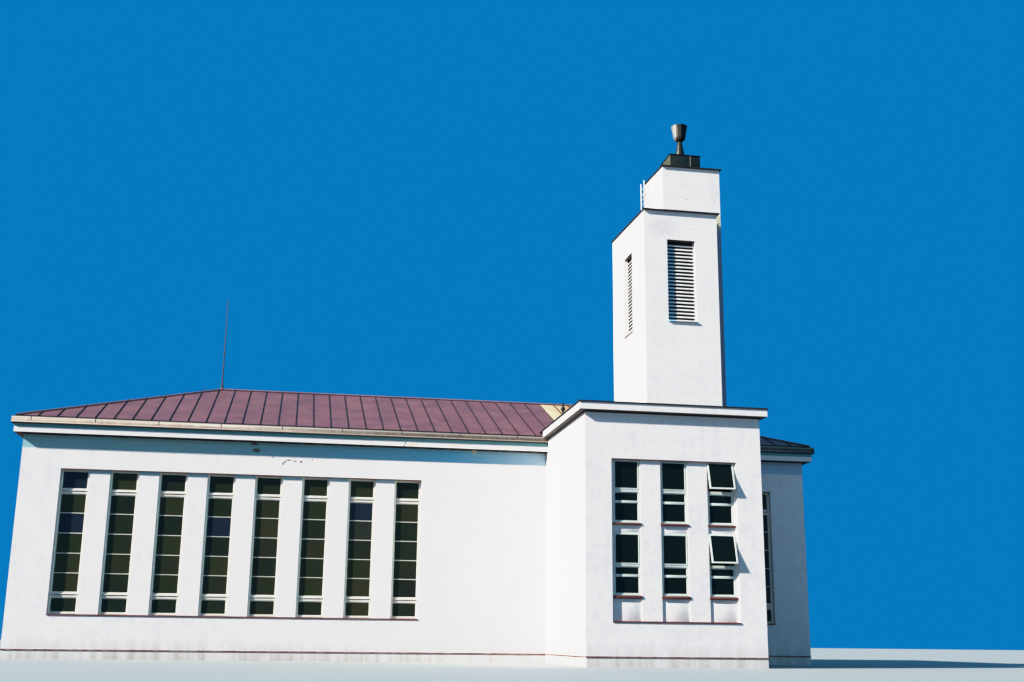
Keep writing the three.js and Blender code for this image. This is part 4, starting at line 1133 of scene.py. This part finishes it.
fit(bay_row("block_front_frames", 2, frame_bay, casement_bay), BLOCK_FRAME, "block_front_bays")
fit(bay_row("block_open_bay_frame", 1, frame_bay, first=2), BLOCK_FRAME, "block_open_bay")
fit(right_side(bay_row("block_right_frames", 3, frame_bay, casement_bay)),
    BLOCK_FRAME, "block_right_bays")
fit(bay_row("block_front_panels", 3, panel_bay), RENDER)
fit(right_side(bay_row("block_right_panels", 3, panel_bay)), RENDER)
fit(block_sills("block_front_sills"), SILL)
fit(right_side(block_sills("block_right_sills")), SILL)
block_panes = [
    bay_row("front_panes", 2, fixed_bay, hung_bay), bay_row("open_panes", 1, fixed_bay, first=2),
    right_side(bay_row("side_panes", 3, fixed_bay, hung_bay)),
]
fit(joined("block_panes", block_panes), GLASS, "block_lower_glass", "block_upper_glass")
discard(frame_bay, casement_bay, panel_bay, sill_bay, fixed_bay, hung_bay)

# %% Open casements, modelled hanging from the origin, then swung out at their feet
for storey, (foot, transom_low, transom_high, head) in zip(("lower", "upper"), WINDOWS):
    x0 = BAY_LEFT + 2 * BAY_STEP + 0.02
    span = (x0, x0 + BAY_WIDTH - 0.04, -(head - transom_high - 0.04), 0)
    hole = within(span, FRAME_BAR)
    name = "casement_" + storey
    leaf = lattice(name, span, -CASEMENT_DEPTH, CASEMENT_DEPTH, [hole], 0.005)
    pane = panes(name + "_pane", [hole], -0.028)
    hung = (0, INFILL, head - CASEMENT_DEPTH * sin(OPEN_ANGLE))
    fit(settle(leaf, hung, tilt=-OPEN_ANGLE), BLOCK_FRAME, "open_" + name)
    fit(settle(pane, hung, tilt=-OPEN_ANGLE), GLASS)

# %% [markdown]
# ## Bell louvres
# Sloping slats keep rain out and let the bells be heard. One slat with soft edges is tilted and
# repeated 22 times inside a frame, over a sill that throws the water clear of the wall.

# %% Louvres
LOUVRE_LOW, LOUVRE_HIGH = 15.3, 19.3
SLATS, SLAT_TILT = 22, radians(68)
SLAT_WIDTH, SLAT_THICK, SLAT_STEP, LOWEST_SLAT = 0.08, 0.024, 0.172, 0.06
STILE, LOUVRE_SETBACK, LOUVRE_DEPTH, LOUVRE_SILL = 0.03, 0.13, 0.16, 0.08
TOWER_LEFT, TOWER_RIGHT, TOWER_FRONT = 27.64, 31.19, -5.7
TOWER_MIDDLE = (TOWER_LEFT + TOWER_RIGHT) / 2


def louvre(name, width):
    """A louvre that faces forwards, its opening centred on the origin at y = 0."""
    half = width / 2 - 0.001
    foot, back = LOUVRE_LOW + LOUVRE_SILL, LOUVRE_SETBACK + LOUVRE_DEPTH
    middle = LOUVRE_SETBACK + SLAT_WIDTH / 2
    stiles = bars("stiles", [
        ((x, middle, foot - 0.01), (x + STILE, back, LOUVRE_HIGH - 0.001))
        for x in (-half + 0.002, half - 0.002 - STILE)
    ], 0.003)
    corner = Vector((half, SLAT_WIDTH / 2, SLAT_THICK / 2))
    slat = bar(name, -corner, corner, 0.005)
    settle(slat, (0, middle, foot + LOWEST_SLAT), tilt=SLAT_TILT)
    row(slat, SLATS, (0, 0, SLAT_STEP))
    sill = bars("sill", [
        ((-half, -0.005, LOUVRE_LOW + 0.001), (half, back, foot)),
        ((-half - 0.02, -0.09, foot - 0.04), (half + 0.02, -0.001, foot - 0.002)),
    ], 0.005)
    return joined(name, [slat, stiles, sill])


for name, width, place, turn in (
    ("front_louvre", 1.36, (TOWER_MIDDLE, TOWER_FRONT, 0), 0),
    ("left_louvre", 1.4, (TOWER_LEFT, TOWER_FRONT / 2, 0), -pi / 2),
    ("back_louvre", 1.36, (TOWER_MIDDLE, 0, 0), pi),
):
    fit(settle(louvre(name + "_slats", width), place, turn), LOUVRE, name)

# %% [markdown]
# ## Ladder on the shaft
# A steel ladder climbs the left face of the upper shaft. Two round rails carry rungs 0.27 m apart,
# and flat brackets hold it off the wall.

# %% Ladder
LADDER_X, LADDER_FRONT, LADDER_WIDTH, LADDER_TOP = 28.69, -2.28, 0.55, 23.56
LOWEST_RUNG, RUNG_STEP, SHAFT_LEFT = 21.02, 0.27, 28.91
sides = (LADDER_FRONT, LADDER_FRONT + LADDER_WIDTH)
rails = [
    round_bar("rail", (LADDER_X, y, foot), (LADDER_X, y, LADDER_TOP), 0.027)
    for y, foot in zip(sides, (20.905, 20.929))
]
rung = round_bar("rungs", *((LADDER_X, y, LOWEST_RUNG) for y in sides), 0.017, 12)
row(rung, 9, (0, 0, RUNG_STEP))


def fixings(name, x, half_width, half_height, soft):
    """Flat pieces from x to the shaft's wall, at the two heights where the ladder is held."""
    return bars(name, [
        ((x, y - half_width, z - half_height), (SHAFT_LEFT, y + half_width, z + half_height))
        for z in (21.425, 22.965) for y in sides
    ], soft)


brackets = fixings("brackets", LADDER_X - 0.005, 0.004, 0.025, 0.002)
plates = fixings("plates", SHAFT_LEFT - 0.008, 0.05, 0.05, 0.003)
fit(joined("shaft_ladder", [*rails, rung, brackets, plates]), LADDER, "tower_ladder")

# %% [markdown]
# ## Copper plinth and chalice
# The plinth is a box clad in copper sheet, with upright folded seams, a lid and a flashing at its
# foot. The chalice is turned: half its outline, drawn as a chain of points, is spun round its axis.

# %% Copper plinth
TOP_X, TOP_Y = 30.3, -3.2
PLINTH_HALF, PLINTH_FOOT, PLINTH_LID, PLINTH_TOP = 0.77, 23.522, 24.33, 24.38
ROOF_FALL = atan2(0.19, 3.09)
SEAM_X = 0.27


def slab(name, reach, foot, head):
    """A square plate centred on the z axis, reaching past the plinth's sides."""
    half = PLINTH_HALF + reach
    return bar(name, (-half, -half, foot), (half, half, head))


skin = slab("plinth_skin", 0, PLINTH_FOOT - 0.1, PLINTH_LID + 0.005)
trim(skin, (0, 0, PLINTH_FOOT), (0, sin(ROOF_FALL), -cos(ROOF_FALL)))
lid = slab("plinth_lid", 0.025, PLINTH_LID, PLINTH_TOP)
flashing = settle(slab("plinth_flashing", 0.02, 0.002, 0.07), (0, 0, PLINTH_FOOT), tilt=ROOF_FALL)
seam = bar("plinth_seams", (SEAM_X - 0.008, -PLINTH_HALF - 0.02, PLINTH_FOOT + 0.12),
           (SEAM_X + 0.008, -PLINTH_HALF + 0.01, PLINTH_LID))
side_seams = [twin(seam, "side_seams", turn=pi / 2 * turn) for turn in (1, 2, 3)]
plinth = joined("copper_plinth_sheet", [skin, lid, flashing, seam, *side_seams])
fit(settle(soften(plinth, 0.004), (TOP_X, TOP_Y, 0)), COPPER, "copper_plinth")


# %% Chalice and roof vent, turned on their axes
def turned(name, outline, steps, smooth):
    """Spin a chain of (radius, height) points round the z axis."""
    piece = chain(name, [(radius, 0, height) for radius, height in outline])
    edit_all()
    bpy.ops.mesh.spin(steps=steps, angle=2 * pi, center=(0, 0, 0), axis=(0, 0, 1))
    bpy.ops.mesh.select_all(action="SELECT")
    bpy.ops.mesh.remove_doubles(threshold=0.0005)
    bpy.ops.mesh.normals_make_consistent(inside=False)
    leave_edit()
    bpy.ops.object.shade_smooth_by_angle(angle=smooth)
    return piece


chalice = turned("bronze_chalice", (
    (0.0, 0.0), (0.278, 0.0), (0.285, 0.008), (0.283, 0.05), (0.27, 0.066), (0.23, 0.32),
    (0.118, 0.955), (0.114, 0.97), (0.121, 0.985), (0.25, 1.089), (0.303, 1.185), (0.332, 1.39),
    (0.371, 1.597), (0.405, 1.79), (0.41, 1.81), (0.386, 1.81), (0.343, 1.597), (0.304, 1.39),
    (0.275, 1.205), (0.235, 1.125), (0.0, 1.09),
), 12, 0.3)
fit(settle(chalice, (TOP_X, TOP_Y, PLINTH_TOP)), BRONZE, "chalice")

VENT_PLACE = (24.06, -4.36, 10.94)
vent = turned("roof_vent_pipe", (
    (0.0, 0.0), (0.1, 0.0), (0.1, 0.012), (0.055, 0.05), (0.045, 0.06), (0.045, 0.24),
    (0.075, 0.26), (0.097, 0.3), (0.1, 0.335), (0.097, 0.37), (0.075, 0.41), (0.045, 0.43),
    (0.045, 0.59), (0.052, 0.6), (0.052, 0.615), (0.046, 0.62), (0.0, 0.62),
), 24, 0.6)
fit(settle(vent, VENT_PLACE), DARK, "roof_vent")

# %% [markdown]
# ## Entrance door
# The door in the right-hand end wall isn't in the picture. It is a plain two-leaf plank door: a
# frame, upright boards with grooves, a lever handle and strap hinges.

# %% Entrance door, modelled facing forwards
DOOR_HALF, DOOR_FOOT, DOOR_HEAD, BOARDS = 0.9, 0.15, 2.55, 6
DOOR_EDGE = DOOR_HALF - 0.07
BOARD_FOOT, BOARD_HEAD = DOOR_FOOT + 0.04, DOOR_HEAD - 0.07


def in_end_wall(piece):
    return settle(piece, (HALL_LENGTH - 0.15, RIDGE_Y, 0), pi / 2)


leaves = ((-DOOR_EDGE, -0.02), (0.02, DOOR_EDGE))
door_parts = [lattice(
    "casing", within((-DOOR_HALF, DOOR_HALF, DOOR_FOOT, DOOR_HEAD), 0.001), 0, 0.1,
    [(x0, x1, BOARD_FOOT, BOARD_HEAD) for x0, x1 in leaves], 0.006)]
for x0, x1 in leaves:
    width = (x1 - x0) / BOARDS
    board = bar("board", (x0, 0.02, BOARD_FOOT), (x0 + width - 0.004, 0.065, BOARD_HEAD), 0.005)
    door_parts.append(row(board, BOARDS, (width, 0, 0)))
fit(in_end_wall(joined("entrance_door_boards", door_parts)), DOOR, "entrance_door")
metal = [
    bar("plate", (-0.075, 0.012, 1.1), (-0.035, 0.021, 1.32), 0.003),
    round_bar("spindle", (-0.055, 0.02, 1.24), (-0.055, -0.045, 1.24), 0.009),
    round_bar("lever", (-0.055, -0.04, 1.24), (-0.185, -0.04, 1.24), 0.009),
]
for z in (0.55, 2.15):
    for x0, x1 in ((-DOOR_EDGE, -DOOR_HALF + 0.5), (DOOR_HALF - 0.5, DOOR_EDGE)):
        metal.append(bar("strap", (x0, 0.013, z), (x1, 0.021, z + 0.045), 0.003))
fit(in_end_wall(joined("entrance_ironwork", metal)), DARK)

# %% [markdown]
# ## Seams on the flat roof
# The block's flat roof is laid in strips too. Seen from below only its thin dark edge shows, so the
# seams matter in views from above. They stop where the tower stands.

# %% Flat roof seams
flat_rib = bar("block_roof_seams", (23.92, -8.28, 10.93), (23.945, 0.12, 10.962), 0.004)
row(flat_rib, 15, (0.592, 0, 0))
trim(flat_rib, (0, -5.76, 0), (0, 1, 0), lambda centre: 27.6 < centre.x < 31.8)
fit(flat_rib, DARK)

# %% [markdown]
# ## Floor, light and camera
# One low sun stands to the left, so left faces are brightest and the cornice throws a long shadow.
# A pale sky fills the shadows, and a weak wide lamp in front, which the panes don't mirror, stands
# for light from the street. Only the camera sees the deep blue backdrop and the pale floor: the
# walls get a paler sky and a darker ground.

# %% Floor
scene = bpy.context.scene
deselect()
bpy.ops.mesh.primitive_plane_add(size=400)
floor = bpy.context.object
floor.name = "studio_floor"
coat = Finish("studio_floor_grey", Roughness=0.9)
seen = coat.node("LightPath")["Is Camera Ray"]
coat.colour = coat.mix(seen, (0.04, 0.05, 0.06), (0.34, 0.35, 0.34))
floor.data.materials.append(coat.done())


# %% Sun, front lamp and sky
def sun_lamp(name, towards, energy, degrees, colour):
    light_data = bpy.data.lights.new(name, "SUN")
    light_data.energy, light_data.angle, light_data.color = energy, radians(degrees), colour
    lamp = bpy.data.objects.new(name, light_data)
    lamp.rotation_euler = (-Vector(towards)).to_track_quat("-Z", "Y").to_euler()
    scene.collection.objects.link(lamp)
    return lamp


sun_lamp("sun", (-0.802, -0.292, 0.521), 9.0, 2.0, (1.0, 0.95, 0.885))
sun_lamp("fill", (-0.28, -0.95, -0.06), 0.5, 20.0, (1.0, 0.93, 0.9)).visible_glossy = False

world = bpy.data.worlds.new("studio_sky")
world.use_nodes = True
sky = Tree(world.node_tree)
seen = sky.node("LightPath")["Is Camera Ray"]
sky_colour = sky.mix(seen, (0.084, 0.322, 0.574), (0.003, 0.235, 0.568))
sky.feed(world.node_tree.nodes["Background"].inputs["Color"], sky_colour)
scene.world = world

# %% [markdown]
# ### How the picture is developed
# White walls in full sun are brighter than a picture can show. A curve bends the brightest tones
# gently, so that grain and stains stay visible, as they do in a photograph.

# %% A soft shoulder for the highlights
BRIGHTEST = 3.0
view = scene.view_settings
view.view_transform = "Standard"
view.gamma = 0.88
view.use_curve_mapping = True
view.curve_mapping.white_level = (BRIGHTEST, BRIGHTEST, BRIGHTEST)
shoulder = view.curve_mapping.curves[3]
shoulder.points[-1].location = (1.0, 0.985)
for scene_light, shown in ((0.74, 0.74), (0.86, 0.83), (1.2, 0.88), (2.1, 0.95)):
    shoulder.points.new(scene_light / BRIGHTEST, shown)
for point in shoulder.points:
    point.handle_type = "VECTOR"
view.curve_mapping.update()

# %% Camera, standing where the photographer stood
EYE = (-6.379, -60.234, 1.039)
YAW, PITCH_UP, ROLL = 0.1758, 0.244, 0.0111
camera = bpy.data.objects.new("camera", bpy.data.cameras.new("camera"))
camera.data.lens = 42.21
camera.data.sensor_width = 36
camera.data.clip_end = 500
camera.matrix_world = Matrix.Translation(EYE)
for angle, axis in ((-YAW, "Z"), (pi / 2 + PITCH_UP, "X"), (ROLL, "Z")):
    camera.matrix_world @= Matrix.Rotation(angle, 4, axis)
scene.collection.objects.link(camera)
scene.camera = camera
